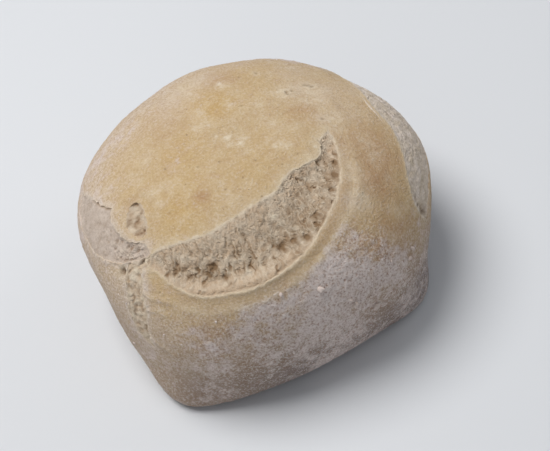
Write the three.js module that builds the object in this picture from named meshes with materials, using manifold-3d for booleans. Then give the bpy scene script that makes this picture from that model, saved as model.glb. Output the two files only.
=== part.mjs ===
// A small floury bread roll, one piece of bread. It stands on its flat baked base. While it
// baked, the crumb pushed the domed top away from the sides, so the crust is torn open along
// the front, at the left corner and along the right side, and the crumb shows in the tears.
// Every surface is measured from one point inside the roll, its heart: a direction is a
// longitude and a latitude in degrees, and a height is a distance in millimetres.
import * as THREE from "three";
import { mergeVertices } from "three/addons/utils/BufferGeometryUtils.js";
import Module from "manifold-3d";

// Driving dimensions, in millimetres
const HALF_WIDTH = 45;
const HALF_DEPTH = 44.25;
const HEIGHT = 54.6;
const HEART = new THREE.Vector3(-2.0, -0.2, 23.2);
const CRUST_THICKNESS = 1.3;
const THINNEST_CRUST = 0.8;
const BASE_CRUST = 2.5;
const BASE_SINK = 0.1;

// How square the plan is low down and near the top, and how full the side profiles are
const PLAN_SQUARE_LOW = 3.07;
const PLAN_SQUARE_TOP = 2.2;
const PLAN_LOW_UNTIL = -0.6; // the upward part of a direction where the plan starts to change
const PLAN_TOP_FROM = 0.7; // and where it has the top's form
const PROFILE_TOP = 2.44;
const PROFILE_LOW = 2.7;
const UNDERSIDE_DROP = 0.68;
const FOOT_ROUND = 18;

// Broad swellings and hollows of the hand-shaped dough: direction, rise and spread in degrees
const SWELLINGS = [
  { lon: 0, lat: 8, rise: 5.3, spread: 27 }, // the right side leans out
  { lon: 45, lat: 10, rise: 0.8, spread: 20 },
  { lon: 90, lat: 28, rise: 1.9, spread: 27 }, // the back
  { lon: 130, lat: 25, rise: -0.6, spread: 27 },
  { lon: 180, lat: 12, rise: 2.8, spread: 27 }, // the left side
  { lon: -168, lat: -15, rise: -3.1, spread: 27 }, // pinched in under it
  { lon: -160, lat: -15, rise: 1.6, spread: 14 },
  { lon: -134, lat: -33, rise: 7.0, spread: 14 }, // the left front foot
  { lon: -136, lat: -22, rise: 1.8, spread: 11 },
  { lon: -100, lat: -28, rise: 1.3, spread: 20 }, // the front
  { lon: -45, lat: -28, rise: -2.5, spread: 27 },
  { lon: -42, lat: 12, rise: -0.4, spread: 27 },
  { lon: -36, lat: -31, rise: 10.0, spread: 14 }, // the right front foot
  { lon: -35, lat: -20, rise: -1.6, spread: 11 },
];

// Small lumps and hollows all over the crust, spread by the golden angle
const LUMPS = 90;
const LUMP_RISE = 0.56;
const LUMP_SPREAD = 9;
const GOLDEN_ANGLE = 137.508;

// The tears. Each runs between two lips, given from end to end as longitude and latitude,
// with both ends shared. The floor of crumb is "shallow" deep under the upper lip and "deep"
// deep under the lower one, and "rim" is how far the lower lip's crust curls out.
const TEARS = [
  {
    name: "front",
    upper: [[-149, 28.5], [-144.5, 34], [-135, 39.5], [-115, 48], [-96, 54], [-74, 58], [-57, 58],
      [-40, 54.2], [-27, 55], [-13.5, 51.5]],
    lower: [[-149, 28.5], [-143.5, 26], [-137, 25], [-122, 23.4], [-104, 26.3], [-83, 32.6],
      [-65, 39.3], [-46, 44.4], [-33, 48], [-22, 50.5], [-13.5, 51.5]],
    shallow: 1.1,
    deep: 4.6,
    deepest: 0.8,
    rim: 0.9,
  },
  {
    name: "left patch",
    upper: [[161, 19], [169, 25.5], [176.5, 30], [183.2, 32.2], [188.5, 31.6], [192, 30.6],
      [197, 30.2], [203, 31.2], [208, 33], [212, 31]],
    lower: [[161, 19], [171, 16.8], [182.5, 16.8], [191.5, 18.9], [198, 21.4], [203, 24],
      [208, 27.5], [212, 31]],
    shallow: 0.9,
    deep: 1.9,
    deepest: 0.6,
    rim: 0.5,
  },
  {
    name: "corner seam",
    upper: [[-155, 25.5], [-153.5, 20], [-151.7, 15.5], [-150.4, 11.5], [-149, 6.5], [-145.5, 2],
      [-141, -0.8]],
    lower: [[-155, 25.5], [-149, 26.5], [-146.8, 22], [-144.5, 17], [-143.2, 12], [-143.2, 8],
      [-142, 3], [-141, -0.8]],
    shallow: 1.0,
    deep: 1.7,
    deepest: 0.5,
    rim: 0.3,
  },
  {
    name: "right side",
    upper: [[-32.5, 6], [-34.4, 13], [-31.5, 20.5], [-22, 25.5], [-11, 28.3], [-4, 31.3], [3, 33],
      [14, 31], [24, 28.5], [34, 23.5], [39, 17]],
    lower: [[-32.5, 6], [-27, 9.2], [-16, 10.6], [0, 10.4], [16, 11], [30, 12.6], [39, 17]],
    shallow: 1.1,
    deep: 1.4,
    deepest: 0.5,
    rim: 0.1,
  },
];

// The burst blister, an oval hollow in the top crust beside the left patch
const BLISTER = { lon: -161, lat: 38.4, half_long: 7.2, half_wide: 4.3, turn: -24, depth: 2.9 };

const LIP_STEP = 1.9; // degrees between the points along a lip
const UPPER_RAGGED = 0.45; // degrees that the thin upper lip wanders
const LOWER_RAGGED = 0.22;
const OVAL_POINTS = 22;
const RIM_RADIUS = 1.3;
const RIM_SEGMENTS = 4; // to each half of its round section
const RIM_STEP = 3; // millimetres along the rim
const RIM_DIVE = 0.6; // how deep a rim's ends go under the crust
const CUT_OUTSIDE = 160; // a cutting wedge reaches from well inside to well outside
const CUT_INSIDE = 20;

// Crumb relief: strands that run from lip to lip, and open bubbles near the lower lip
const STRAND_WIDTH = 2.6;
const STRAND_RISE = 0.45;
const STRAND_SHIFT = { x: 1.3, y: 0.4 }; // the strands follow each other mostly along X
const BUBBLES = 34;
const BUBBLES_FROM = 0.25; // shares of the way from the upper lip to the lower one
const BUBBLES_TO = 0.95;
const BUBBLE_RADIUS = 1.9;
const BUBBLE_SMALLEST = 0.5;
const BUBBLE_DEPTH = 1.5;
const BUBBLE_SHALLOWEST = 0.4;
const LEDGE = 0.35; // the share of its depth that the floor wins back at the lower lip
const OPEN_WIDTH = 9; // a tear narrower than this is shallower too
const GRAIN_RISE = 0.22; // the uneven floor of the shallow tears
const GRAIN_SIZE = 5;

// How finely the crust and the crumb are divided
const CRUST_DETAIL = 14;
const CRUMB_DETAIL = 29;

const wasm = await Module();
wasm.setup();

// A unit direction from the heart
function direction(lon, lat) {
  const a = THREE.MathUtils.degToRad(lon);
  const b = THREE.MathUtils.degToRad(lat);
  return new THREE.Vector3(Math.cos(b) * Math.cos(a), Math.cos(b) * Math.sin(a), Math.sin(b));
}

// A soft rise of 1 at a centre that dies away over a spread in degrees
function bump(way, centre, spread) {
  const angle = THREE.MathUtils.radToDeg(way.angleTo(centre));
  return Math.exp(-((angle / spread) ** 2));
}

// A repeatable draw from 0 to 1 for the i-th thing of a set
function draw(i, set) {
  const s = Math.sin(i * 12.9898 + set * 78.233) * 43758.5453;
  return s - Math.floor(s);
}

for (const swelling of SWELLINGS) swelling.centre = direction(swelling.lon, swelling.lat);

const lumps = [];
for (let i = 0; i < LUMPS; i++) {
  const height = 1 - (2 * (i + 0.5)) / LUMPS;
  const centre = direction(i * GOLDEN_ANGLE, THREE.MathUtils.radToDeg(Math.asin(height)));
  lumps.push({ centre, rise: LUMP_RISE * (2 * draw(i, 1) - 1) });
}

// Distance from the heart to the crust along a direction
function reach(way) {
  const level = THREE.MathUtils.smoothstep(way.z, PLAN_LOW_UNTIL, PLAN_TOP_FROM);
  const square = THREE.MathUtils.lerp(PLAN_SQUARE_LOW, PLAN_SQUARE_TOP, level);
  const across = (Math.abs(way.x) / HALF_WIDTH) ** square + (Math.abs(way.y) / HALF_DEPTH) ** square;
  const plan = across ** (1 / square);
  const drop = way.z > 0 ? HEIGHT - HEART.z : HEART.z / UNDERSIDE_DROP;
  const fullness = way.z > 0 ? PROFILE_TOP : PROFILE_LOW;
  let radius = (plan ** fullness + (Math.abs(way.z) / drop) ** fullness) ** (-1 / fullness);
  for (const s of SWELLINGS) radius += s.rise * bump(way, s.centre, s.spread);
  for (const lump of lumps) radius += lump.rise * bump(way, lump.centre, LUMP_SPREAD);
  if (way.z >= 0) return radius;
  const to_base = HEART.z / -way.z;
  return (radius ** -FOOT_ROUND + to_base ** -FOOT_ROUND) ** (-1 / FOOT_ROUND);
}

// A lip as evenly spaced points on the unit sphere, wandering a little as torn crust does
function lipPoints(controls, ragged) {
  const curve = new THREE.SplineCurve(controls.map(([lon, lat]) => new THREE.Vector2(lon, lat)));
  const count = Math.round(curve.getLength() / LIP_STEP);
  const points = curve.getSpacedPoints(count);
  points.forEach((point, i) => {
    const at_end = i === 0 || i === count;
    if (!at_end) point.y += ragged * (2 * draw(i, controls.length) - 1);
  });
  return points;
}

// The nearest point's distance to a lip in degrees
function lipDistance(way, lip) {
  let nearest = -1;
  for (const point of lip) nearest = Math.max(nearest, way.dot(point));
  return THREE.MathUtils.radToDeg(Math.acos(Math.min(1, nearest)));
}

for (const tear of TEARS) {
  tear.upper_points = lipPoints(tear.upper, UPPER_RAGGED);
  tear.lower_points = lipPoints(tear.lower, LOWER_RAGGED);
  tear.upper_ways = tear.upper_points.map((p) => direction(p.x, p.y));
  tear.lower_ways = tear.lower_points.map((p) => direction(p.x, p.y));
}

// Open bubbles in the front tear's crumb, most of them by the lower lip
const bubbles = [];
for (let i = 0; i < BUBBLES; i++) {
  const { upper_ways, lower_ways } = TEARS[0];
  const along = (i + 0.5 + 0.6 * (draw(i, 3) - 0.5)) / BUBBLES;
  const across = THREE.MathUtils.lerp(BUBBLES_FROM, BUBBLES_TO, Math.sqrt(draw(i, 4)));
  const up = upper_ways[Math.round(along * (upper_ways.length - 1))];
  const low = lower_ways[Math.round(along * (lower_ways.length - 1))];
  const size = BUBBLE_RADIUS * THREE.MathUtils.lerp(BUBBLE_SMALLEST, 1, draw(i, 5));
  bubbles.push({ centre: up.clone().lerp(low, across).normalize(), size, across });
}

// Ridges across the front tear, from lip to lip
function strand(way, radius) {
  return Math.sin((way.x * STRAND_SHIFT.x + way.y * STRAND_SHIFT.y) * (radius / STRAND_WIDTH) * 2 * Math.PI);
}

// Soft uneven ground, the same size in all directions
function grain(way, radius) {
  const turns = (radius / GRAIN_SIZE) * 2 * Math.PI;
  return GRAIN_RISE * (Math.sin(way.x * turns) + Math.sin(way.y * turns + 2) * Math.sin(way.z * turns));
}

const blister_centre = direction(BLISTER.lon, BLISTER.lat);

// How deep the crumb lies under the outer skin along a direction
function crumbDepth(way, radius) {
  let depth = CRUST_THICKNESS;
  let closest = Infinity;
  for (const tear of TEARS) {
    const from_upper = lipDistance(way, tear.upper_ways);
    const from_lower = lipDistance(way, tear.lower_ways);
    const near = Math.min(from_upper, from_lower);
    if (near > closest) continue;
    closest = near;
    const across = from_upper / (from_upper + from_lower + 1e-6);
    const fall = THREE.MathUtils.smoothstep(across, 0, tear.deepest);
    const climb = THREE.MathUtils.smoothstep(across, tear.deepest, 1);
    const floor = THREE.MathUtils.lerp(tear.shallow, tear.deep, fall * (1 - LEDGE * climb));
    const width = THREE.MathUtils.degToRad(from_upper + from_lower) * radius;
    const open = THREE.MathUtils.smoothstep(width, 0, OPEN_WIDTH);
    const relief = tear.name === "front" ? STRAND_RISE * strand(way, radius) * fall : grain(way, radius);
    depth = THREE.MathUtils.lerp(tear.shallow, floor + relief, open);
  }
  for (const bubble of bubbles) {
    const spread = THREE.MathUtils.radToDeg(bubble.size / radius);
    const sunk = BUBBLE_DEPTH * THREE.MathUtils.lerp(BUBBLE_SHALLOWEST, 1, bubble.across);
    depth += sunk * bump(way, bubble.centre, spread);
  }
  depth = Math.max(depth, THINNEST_CRUST);
  return depth + (BLISTER.depth - CRUST_THICKNESS) * bump(way, blister_centre, BLISTER.half_long);
}

// A closed geometry as a solid. Only positions are kept, and shared corners are merged.
function solid(geometry) {
  const bare = geometry.clone();
  bare.deleteAttribute("normal");
  bare.deleteAttribute("uv");
  const merged = mergeVertices(bare, 1e-4);
  const mesh = new wasm.Mesh({
    numProp: 3,
    vertProperties: new Float32Array(merged.attributes.position.array),
    triVerts: new Uint32Array(merged.index.array),
  });
  return new wasm.Manifold(mesh);
}

// A ball of even triangles whose every corner is moved to a height above the heart
function heartBody(detail, height, lowest) {
  const geometry = new THREE.IcosahedronGeometry(1, detail);
  const position = geometry.attributes.position;
  const way = new THREE.Vector3();
  for (let i = 0; i < position.count; i++) {
    way.fromBufferAttribute(position, i).normalize();
    const point = way.clone().multiplyScalar(height(way)).add(HEART);
    position.setXYZ(i, point.x, point.y, Math.max(lowest, point.z - BASE_SINK));
  }
  return solid(geometry);
}

// A wedge that cuts the crust along an outline, all its sides pointing at the heart
function wedge(outline) {
  const shape = new THREE.Shape(outline);
  const geometry = new THREE.ExtrudeGeometry(shape, { depth: 1, steps: 1, bevelEnabled: false });
  const position = geometry.attributes.position;
  for (let i = 0; i < position.count; i++) {
    const way = direction(position.getX(i), position.getY(i));
    const radius = position.getZ(i) > 0.5 ? CUT_OUTSIDE : CUT_INSIDE;
    const point = way.multiplyScalar(radius).add(HEART);
    position.setXYZ(i, point.x, point.y, point.z);
  }
  return solid(geometry);
}

// A tear's closed outline, out along the upper lip and back along the lower one
function tearOutline(tear) {
  const back = tear.lower_points.slice(1, -1).reverse();
  return [...tear.upper_points, ...back];
}

// The blister's oval, turned on the crust and widened for its latitude
function blisterOutline() {
  const oval = new THREE.EllipseCurve(0, 0, BLISTER.half_long, BLISTER.half_wide, 0, 2 * Math.PI);
  const turn = THREE.MathUtils.degToRad(BLISTER.turn);
  const widen = 1 / Math.cos(THREE.MathUtils.degToRad(BLISTER.lat));
  return oval.getPoints(OVAL_POINTS).slice(0, -1).map((point) => {
    point.rotateAround(new THREE.Vector2(), turn);
    return new THREE.Vector2(BLISTER.lon + point.x * widen, BLISTER.lat + point.y);
  });
}

// The curled rim of crust along a lower lip: a round bead that dives into the crust at both ends
function rimBead(tear) {
  const ways = tear.lower_ways;
  const points = ways.map((way, i) => {
    const swell = Math.sin((Math.PI * i) / (ways.length - 1)) ** 0.5;
    const height = reach(way) - RIM_RADIUS + tear.rim * swell - RIM_DIVE * (1 - swell);
    return way.clone().multiplyScalar(height).add(HEART);
  });
  const path = new THREE.CatmullRomCurve3(points);
  const section = new THREE.Shape();
  section.absarc(0, 0, RIM_RADIUS, 0, 2 * Math.PI);
  return solid(new THREE.ExtrudeGeometry(section, {
    extrudePath: path,
    steps: Math.round(path.getLength() / RIM_STEP),
    curveSegments: RIM_SEGMENTS,
    bevelEnabled: false,
  }));
}

// The crust with its rims, cut open at the tears, round the crumb
function breadRoll() {
  let roll = heartBody(CRUST_DETAIL, reach, 0);
  for (const tear of TEARS) roll = roll.add(rimBead(tear));
  for (const tear of TEARS) roll = roll.subtract(wedge(tearOutline(tear)));
  roll = roll.subtract(wedge(blisterOutline()));
  const crumbHeight = (way) => {
    const radius = reach(way);
    return radius - crumbDepth(way, radius);
  };
  return roll.add(heartBody(CRUMB_DETAIL, crumbHeight, BASE_CRUST));
}

// A solid's corners and triangles, ready for a mesh
function meshGeometry(made) {
  const { vertProperties, triVerts } = made.getMesh();
  const geometry = new THREE.BufferGeometry();
  geometry.setAttribute("position", new THREE.BufferAttribute(vertProperties, 3));
  geometry.setIndex(new THREE.BufferAttribute(triVerts, 1));
  geometry.computeVertexNormals();
  return geometry;
}

const bread = new THREE.MeshStandardMaterial({ color: 0xbfa67e, roughness: 0.9, metalness: 0 });
const bread_roll = new THREE.Mesh(meshGeometry(breadRoll()), bread);
bread_roll.name = "bread_roll";

const part = new THREE.Group();
part.name = "bread_roll_part";
part.add(bread_roll);

export default part;
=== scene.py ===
"""A small floury bread roll, whole and unsliced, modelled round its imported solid.

The solid gives the body's form. Here the skin of crust is laid over that form, opened along
its tears with a thin lip on one side and a curled rim on the other, and the crumb is laid in
the tears as pieces of their own. Places on the roll are directions from its heart, as
longitude and latitude in degrees, and small sizes are in millimetres.
"""

from itertools import product

import bpy
import numpy as np
from mathutils import Matrix, kdtree


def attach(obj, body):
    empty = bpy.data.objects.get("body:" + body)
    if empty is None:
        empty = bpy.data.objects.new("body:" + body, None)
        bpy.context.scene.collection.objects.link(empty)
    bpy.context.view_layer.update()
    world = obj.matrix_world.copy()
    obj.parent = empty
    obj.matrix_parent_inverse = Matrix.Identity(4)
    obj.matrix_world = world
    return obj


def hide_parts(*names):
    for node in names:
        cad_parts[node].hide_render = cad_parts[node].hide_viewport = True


bl_info = {
    "name": "Floury bread roll",
    "version": (1, 0, 0),
    "blender": (4, 5, 0),
    "location": "3D View > Sidebar > Bread",
    "description": "Builds a torn, floury bread roll: crust, crumb, loose crumbs and a studio",
    "category": "Add Mesh",
}

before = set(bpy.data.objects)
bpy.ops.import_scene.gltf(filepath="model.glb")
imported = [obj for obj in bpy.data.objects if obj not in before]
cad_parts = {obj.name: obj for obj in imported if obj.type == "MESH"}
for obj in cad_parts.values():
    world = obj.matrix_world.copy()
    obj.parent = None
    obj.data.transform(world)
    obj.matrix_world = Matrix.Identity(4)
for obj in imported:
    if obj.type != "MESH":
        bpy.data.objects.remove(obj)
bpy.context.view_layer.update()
BODY = "root"
SOLID = "bread_roll"
MM = 0.001

# The body, in millimetres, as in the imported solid
HALF_WIDTH = 45.0
HALF_DEPTH = 44.25
HEIGHT = 54.6
HEART = np.array([-2.0, -0.2, 23.2])
BASE_SINK = 0.1
PLAN_SQUARE_LOW = 3.07
PLAN_SQUARE_TOP = 2.2
PLAN_LOW_UNTIL = -0.6
PLAN_TOP_FROM = 0.7
PROFILE_TOP = 2.44
PROFILE_LOW = 2.7
UNDERSIDE_DROP = 0.68
FOOT_ROUND = 18.0

# Broad swellings and hollows of the shaped dough: longitude, latitude, rise, spread
SWELLINGS = [
    (0, 8, 5.3, 27),
    (45, 10, 0.8, 20),
    (90, 28, 1.9, 27),
    (130, 25, -0.6, 27),
    (180, 12, 2.8, 27),
    (-168, -15, -3.1, 27),
    (-160, -15, 1.6, 14),
    (-134, -33, 7.0, 14),
    (-136, -22, 1.8, 11),
    (-100, -28, 1.3, 20),
    (-45, -28, -2.5, 27),
    (-42, 12, -0.4, 27),
    (-36, -31, 10.0, 14),
    (-35, -20, -1.6, 11),
]
LUMPS = 90
LUMP_RISE = 0.56
LUMP_SPREAD = 9.0
GOLDEN_ANGLE = 137.508

# The tears, each between two lips that share their ends. "sink" is how far the crust is
# hollowed out under the crumb; "rim" how far the lower lip's crust curls out.
TEARS = {
    "front": {
        "upper": [(-149, 28.5), (-145.3, 34), (-136, 39.2), (-125.7, 43.5), (-116, 48.2),
                  (-107.5, 51.4), (-97, 54.4), (-86, 55.4), (-73, 58.6), (-60, 59.2),
                  (-48, 56.4), (-38, 54), (-27, 55.4), (-13.5, 51.7)],
        "lower": [(-149, 28.5), (-145.5, 27.3), (-141.5, 27), (-136, 25.3), (-130, 24.1),
                  (-123, 23.7), (-114.5, 25), (-104.7, 26.3), (-94.8, 28.9), (-83, 32.6), (-74, 36.2),
                  (-64.3, 39.3), (-54, 42), (-45.8, 44.3), (-33, 47.8), (-22, 50.2),
                  (-13.5, 51.7)],
        "sink": 4.6, "rim": 0.22, "brim": -0.05,
        "pale": (0.6, 0.62), "ragged": (0.5, 0.26), "seed": 3,
    },
    "patch": {
        "upper": [(161, 19), (169, 25.5), (175, 28.6), (180, 31), (182.6, 32.6), (185, 31.2),
                  (191, 30.2), (197, 30.2), (203, 31.2), (208, 33), (212, 31)],
        "lower": [(161, 19), (171, 16.8), (181.5, 17.1), (188, 18), (193, 19.6), (198, 21.4),
                  (203, 24), (208, 27.5), (212, 31)],
        "sink": 3.4, "rim": 0.08, "brim": -0.06,
        "pale": (0.25, 0.18), "ragged": (0.5, 0.3), "seed": 5,
    },
    "seam": {
        "upper": [(-155, 25.5), (-154, 20), (-151.5, 14), (-150.6, 9), (-149, 5.5), (-146, 2.2),
                  (-141, -0.8)],
        "lower": [(-155, 25.5), (-149.5, 26.3), (-147, 22), (-145, 17), (-143.5, 12),
                  (-142.9, 7), (-141.8, 2), (-141, -0.8)],
        "sink": 2.8, "rim": 0.06, "brim": -0.02,
        "pale": (0.35, 0.4), "ragged": (0.7, 0.6), "seed": 7,
    },
    "side": {
        "upper": [(-32.5, 6), (-35.6, 12), (-35.2, 17.5), (-31, 22), (-25, 24.8), (-18.5, 26.6),
                  (-11.5, 28.4), (-4, 31), (4, 33), (14, 31.6), (24, 28.5), (34, 23.5), (39, 17)],
        "lower": [(-32.5, 6), (-27, 9.2), (-16, 10.8), (0, 10.4), (16, 11), (30, 12.6), (39, 17)],
        "sink": 3.2, "rim": 0.05, "brim": 0.12,
        "pale": (0.45, 0.1), "ragged": (0.34, 0.24), "seed": 11,
    },
}
BLISTER = {"lon": -162.6, "lat": 37.2, "half_long": 6.9, "half_wide": 3.75, "turn": -25.0}
LIP_STEP = 0.05
FAR = 99.0  # a distance that stands for no lip near


def sized(name, text, value):
    """A length that a user can change, given in millimetres."""
    return bpy.props.FloatProperty(
        name=name, description=text, default=value * MM, min=0.0, subtype="DISTANCE", unit="LENGTH",
        precision=5)


def linear(hex_colour):
    """An sRGB hex colour as linear red, green and blue."""
    parts = [int(hex_colour[i:i + 2], 16) / 255 for i in (1, 3, 5)]
    return tuple(c / 12.92 if c <= 0.04045 else ((c + 0.055) / 1.055) ** 2.4 for c in parts)


def coloured(name, text, hex_colour):
    """A colour that a user can change."""
    return bpy.props.FloatVectorProperty(
        name=name, description=text, default=linear(hex_colour), subtype="COLOR", size=3,
        min=0.0, max=1.0)


class RollSizes(bpy.types.PropertyGroup):
    """The small sizes of the crust and the crumb."""

    skin_lump: sized("Skin lump", "Rise of the soft lumps of the skin", 0.16)
    skin_grain: sized("Skin grain", "Rise of the grain where flour lies thick", 0.17)
    rim_width: sized("Rim width", "Width of the curled rim along the lower lips", 0.7)
    band_width: sized("Band width", "Width of the bare band below the front rim", 2.9)
    upper_step: sized("Upper step", "How far the crumb lies under the lips", 0.03)
    front_depth: sized("Front depth", "How deep the front tear's crumb lies at most", 2.5)
    strand_width: sized("Strand width", "Width of the crumb's strands from lip to lip", 1.0)
    strand_rise: sized("Strand rise", "Rise of the crumb's strands", 0.42)
    pore_width: sized("Pore width", "Width of the crumb's open pores", 1.5)
    pore_depth: sized("Pore depth", "Depth of the crumb's open pores", 1.3)
    grain_size: sized("Flour grain", "Size of the grains of flour that stick to the crust", 0.34)


class RollColours(bpy.types.PropertyGroup):
    """The colours of the crust, the crumb and the flour."""

    tan: coloured("Tan crust", "The top crust", "#C6AD87")
    yellow: coloured("Yellow crust", "Where the top crust is bare and yellower", "#C4A571")
    brown: coloured("Brown crust", "Where the crust is baked more", "#AB835F")
    rim: coloured("Pale lip", "The torn edge of the crust", "#E2D4BC")
    flour: coloured("Flour", "Flour on the crust", "#DACCC6")
    film: coloured("Flour film", "The thin film of flour on the skin at the sides", "#D2C1B2")
    grains: coloured("Flour grains", "The palest grains of flour", "#E2D8D2")
    # The dull colour greys the skin below the flour, and low on the roll it is painted shade, darker and
    # cooler toward the foot.
    dull: coloured("Dull crust", "The crust low down, greyer than bare crust", "#6F696C")
    bare: coloured("Bare skin", "The skin that shows between grains of flour", "#93705A")
    # The speck colour is the bran's, and it also paints the shade in the skin's pits: painted shade.
    speck: coloured("Speck", "Bran specks in the skin", "#6A5138")
    crumb: coloured("Crumb", "The torn crumb", "#CDBDA8")
    # The crumb hollow colour stands in for shade down in the pores, cells and grooves, painted shade, and
    # also gives the crumb's own brown mottling.
    hollow: coloured("Crumb hollow", "Down in the crumb's pores", "#7C5F40")
    ledge: coloured("Crumb ledge", "The pinker crumb inside the front rim", "#C3AA8F")
    skinned: coloured("Dried crumb", "The smooth dried crumb of the left patch", "#B9A899")
    # The side crumb colour is paler than the crumb's own, to make up for the light the right side lacks:
    # painted light. The patch takes it only for paler mottling.
    pale_crumb_and_painted_light: coloured("Side crumb", "The smooth dried crumb of the right side", "#EADCD0")
    floor: coloured("Floor", "The studio floor", "#DCDDDF")


def unit(vectors):
    """The vectors at length one."""
    return vectors / np.linalg.norm(vectors, axis=-1, keepdims=True)


def direction(lon, lat):
    """Unit directions from the heart."""
    lon, lat = np.radians(lon), np.radians(lat)
    return np.stack([np.cos(lat) * np.cos(lon), np.cos(lat) * np.sin(lon), np.sin(lat)], -1)


def smooth(value, low, high):
    """A soft step from 0 at low to 1 at high; low may be the larger."""
    t = np.clip((value - low) / (high - low), 0.0, 1.0)
    return t * t * (3 - 2 * t)


def lerp(low, high, share):
    """Between low and high."""
    return low + (high - low) * share


def ridge(value, middle, width):
    """A soft ridge of 1 where the value is at the middle."""
    return np.exp(-(((value - middle) / width) ** 2))


def bump(ways, centre, spread):
    """A soft rise of 1 at a centre that dies away over a spread in degrees."""
    angle = np.degrees(np.arccos(np.clip(ways @ centre, -1.0, 1.0)))
    return ridge(angle, 0, spread)


def draw(i, draw_set):
    """A repeatable draw from 0 to 1 for the i-th thing of a set."""
    value = np.sin(i * 12.9898 + draw_set * 78.233) * 43758.5453
    return value - np.floor(value)


def reach(ways):
    """Distance from the heart to the body's surface along each direction."""
    x, y, z = ways[..., 0], ways[..., 1], ways[..., 2]
    square = lerp(PLAN_SQUARE_LOW, PLAN_SQUARE_TOP, smooth(z, PLAN_LOW_UNTIL, PLAN_TOP_FROM))
    plan = (np.abs(x) / HALF_WIDTH) ** square + (np.abs(y) / HALF_DEPTH) ** square
    plan = (plan + 1e-30) ** (1 / square)
    drop = np.where(z > 0, HEIGHT - HEART[2], HEART[2] / UNDERSIDE_DROP)
    full = np.where(z > 0, PROFILE_TOP, PROFILE_LOW)
    radius = (plan ** full + (np.abs(z) / drop) ** full) ** (-1 / full)
    for lon, lat, rise, spread in SWELLINGS:
        radius = radius + rise * bump(ways, direction(lon, lat), spread)
    for i in range(LUMPS):
        lat = np.degrees(np.arcsin(1 - 2 * (i + 0.5) / LUMPS))
        rise = LUMP_RISE * (2 * draw(i, 1) - 1)
        radius = radius + rise * bump(ways, direction(i * GOLDEN_ANGLE, lat), LUMP_SPREAD)
    to_base = HEART[2] / np.maximum(1e-6, -z)
    rounded = (radius ** -FOOT_ROUND + to_base ** -FOOT_ROUND) ** (-1 / FOOT_ROUND)
    return np.where(z < 0, rounded, radius)


def place(ways, radius):
    """Points at a distance from the heart, kept above the table."""
    points = HEART + ways * radius[..., None]
    points[..., 2] = np.maximum(0.0, points[..., 2] - BASE_SINK)
    return points


def scatter(cells, seed):
    """A repeatable number from 0 to 1 for each cell of a lattice."""
    c = cells.astype(np.int64)
    h = (c[..., 0] * 73856093) ^ (c[..., 1] * 19349663) ^ (c[..., 2] * 83492791) ^ (seed * 2654435)
    h = (h ^ (h >> 13)) * 1274126177 & 0xFFFFFFFF
    h = (h ^ (h >> 16)) * 668265263 & 0xFFFFFFFF
    return ((h ^ (h >> 15)) & 0xFFFFFF) / 0xFFFFFF


NOISE_GAIN = 1.6


def noise(points, size, seed):
    """Soft noise of about -1 to 1 with lumps of one size, which may differ by axis."""
    p = points / np.asarray(size, float)
    cell = np.floor(p)
    f = p - cell
    s = f * f * f * (f * (f * 6 - 15) + 10)
    total = 0.0
    for corner in product((0, 1), repeat=3):
        away = f - corner
        turn = scatter(cell + corner, seed) * 2 * np.pi
        tilt = scatter(cell + corner, seed + 101) * 2 - 1
        flat = np.sqrt(1 - tilt * tilt)
        slope = (away[..., 0] * flat * np.cos(turn) + away[..., 1] * flat * np.sin(turn)
                 + away[..., 2] * tilt)
        weight = np.prod(np.where(corner, s, 1 - s), axis=-1)
        total = total + weight * slope
    return total * NOISE_GAIN


def bubbles(points, size, seed):
    """For bubbles scattered one to a cell: the nearest one's distance, the wall's, and its draw."""
    p = points / np.asarray(size, float)
    cell = np.floor(p)
    nearest = np.full(p.shape[:-1], 9.0)
    second = nearest.copy()
    drawn = np.zeros(p.shape[:-1])
    for step in product((-1, 0, 1), repeat=3):
        spot = cell + step
        middle = spot + np.stack([scatter(spot, seed + k) for k in (1, 2, 3)], -1)
        away = np.linalg.norm(p - middle, axis=-1)
        closer = away < nearest
        second = np.where(closer, nearest, np.minimum(second, away))
        nearest = np.where(closer, away, nearest)
        drawn = np.where(closer, scatter(spot, seed + 4), drawn)
    return nearest, second - nearest, drawn


def curve(controls, count):
    """A smooth run of longitudes and latitudes through the controls, as in the solid."""
    c = np.asarray(controls, float)
    t = np.linspace(0, len(c) - 1, count)
    i = np.minimum(t.astype(int), len(c) - 2)
    f = (t - i)[:, None]
    before, after = c[np.maximum(i - 1, 0)], c[np.minimum(i + 2, len(c) - 1)]
    start, end = c[i], c[i + 1]
    lead, follow = (end - before) / 2, (after - start) / 2
    return ((2 * start - 2 * end + lead + follow) * f ** 3
            + (3 * end - 3 * start - 2 * lead - follow) * f ** 2 + lead * f + start)


def even_ways(controls, step=None, count=None):
    """Directions along a smooth run, evenly spaced on the body, with the lengths to them."""
    ways = direction(*curve(controls, 1200).T)
    points = place(ways, reach(ways))
    run = np.concatenate([[0], np.cumsum(np.linalg.norm(np.diff(points, axis=0), axis=1))])
    count = count or int(run[-1] / step) + 1
    along = np.linspace(0, run[-1], count)
    picked = np.stack([np.interp(along, run, ways[:, k]) for k in range(3)], -1)
    return unit(picked), along


def inside(outline, points):
    """Which flat points lie inside a closed flat outline."""
    x, y = points.T
    found = np.zeros(len(points), bool)
    for (x0, y0), (x1, y1) in zip(outline, np.roll(outline, -1, axis=0)):
        if y0 == y1:
            continue
        crosses = (y0 > y) != (y1 > y)
        found ^= crosses & (x < (x1 - x0) * (y - y0) / (y1 - y0) + x0)
    return found


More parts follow.
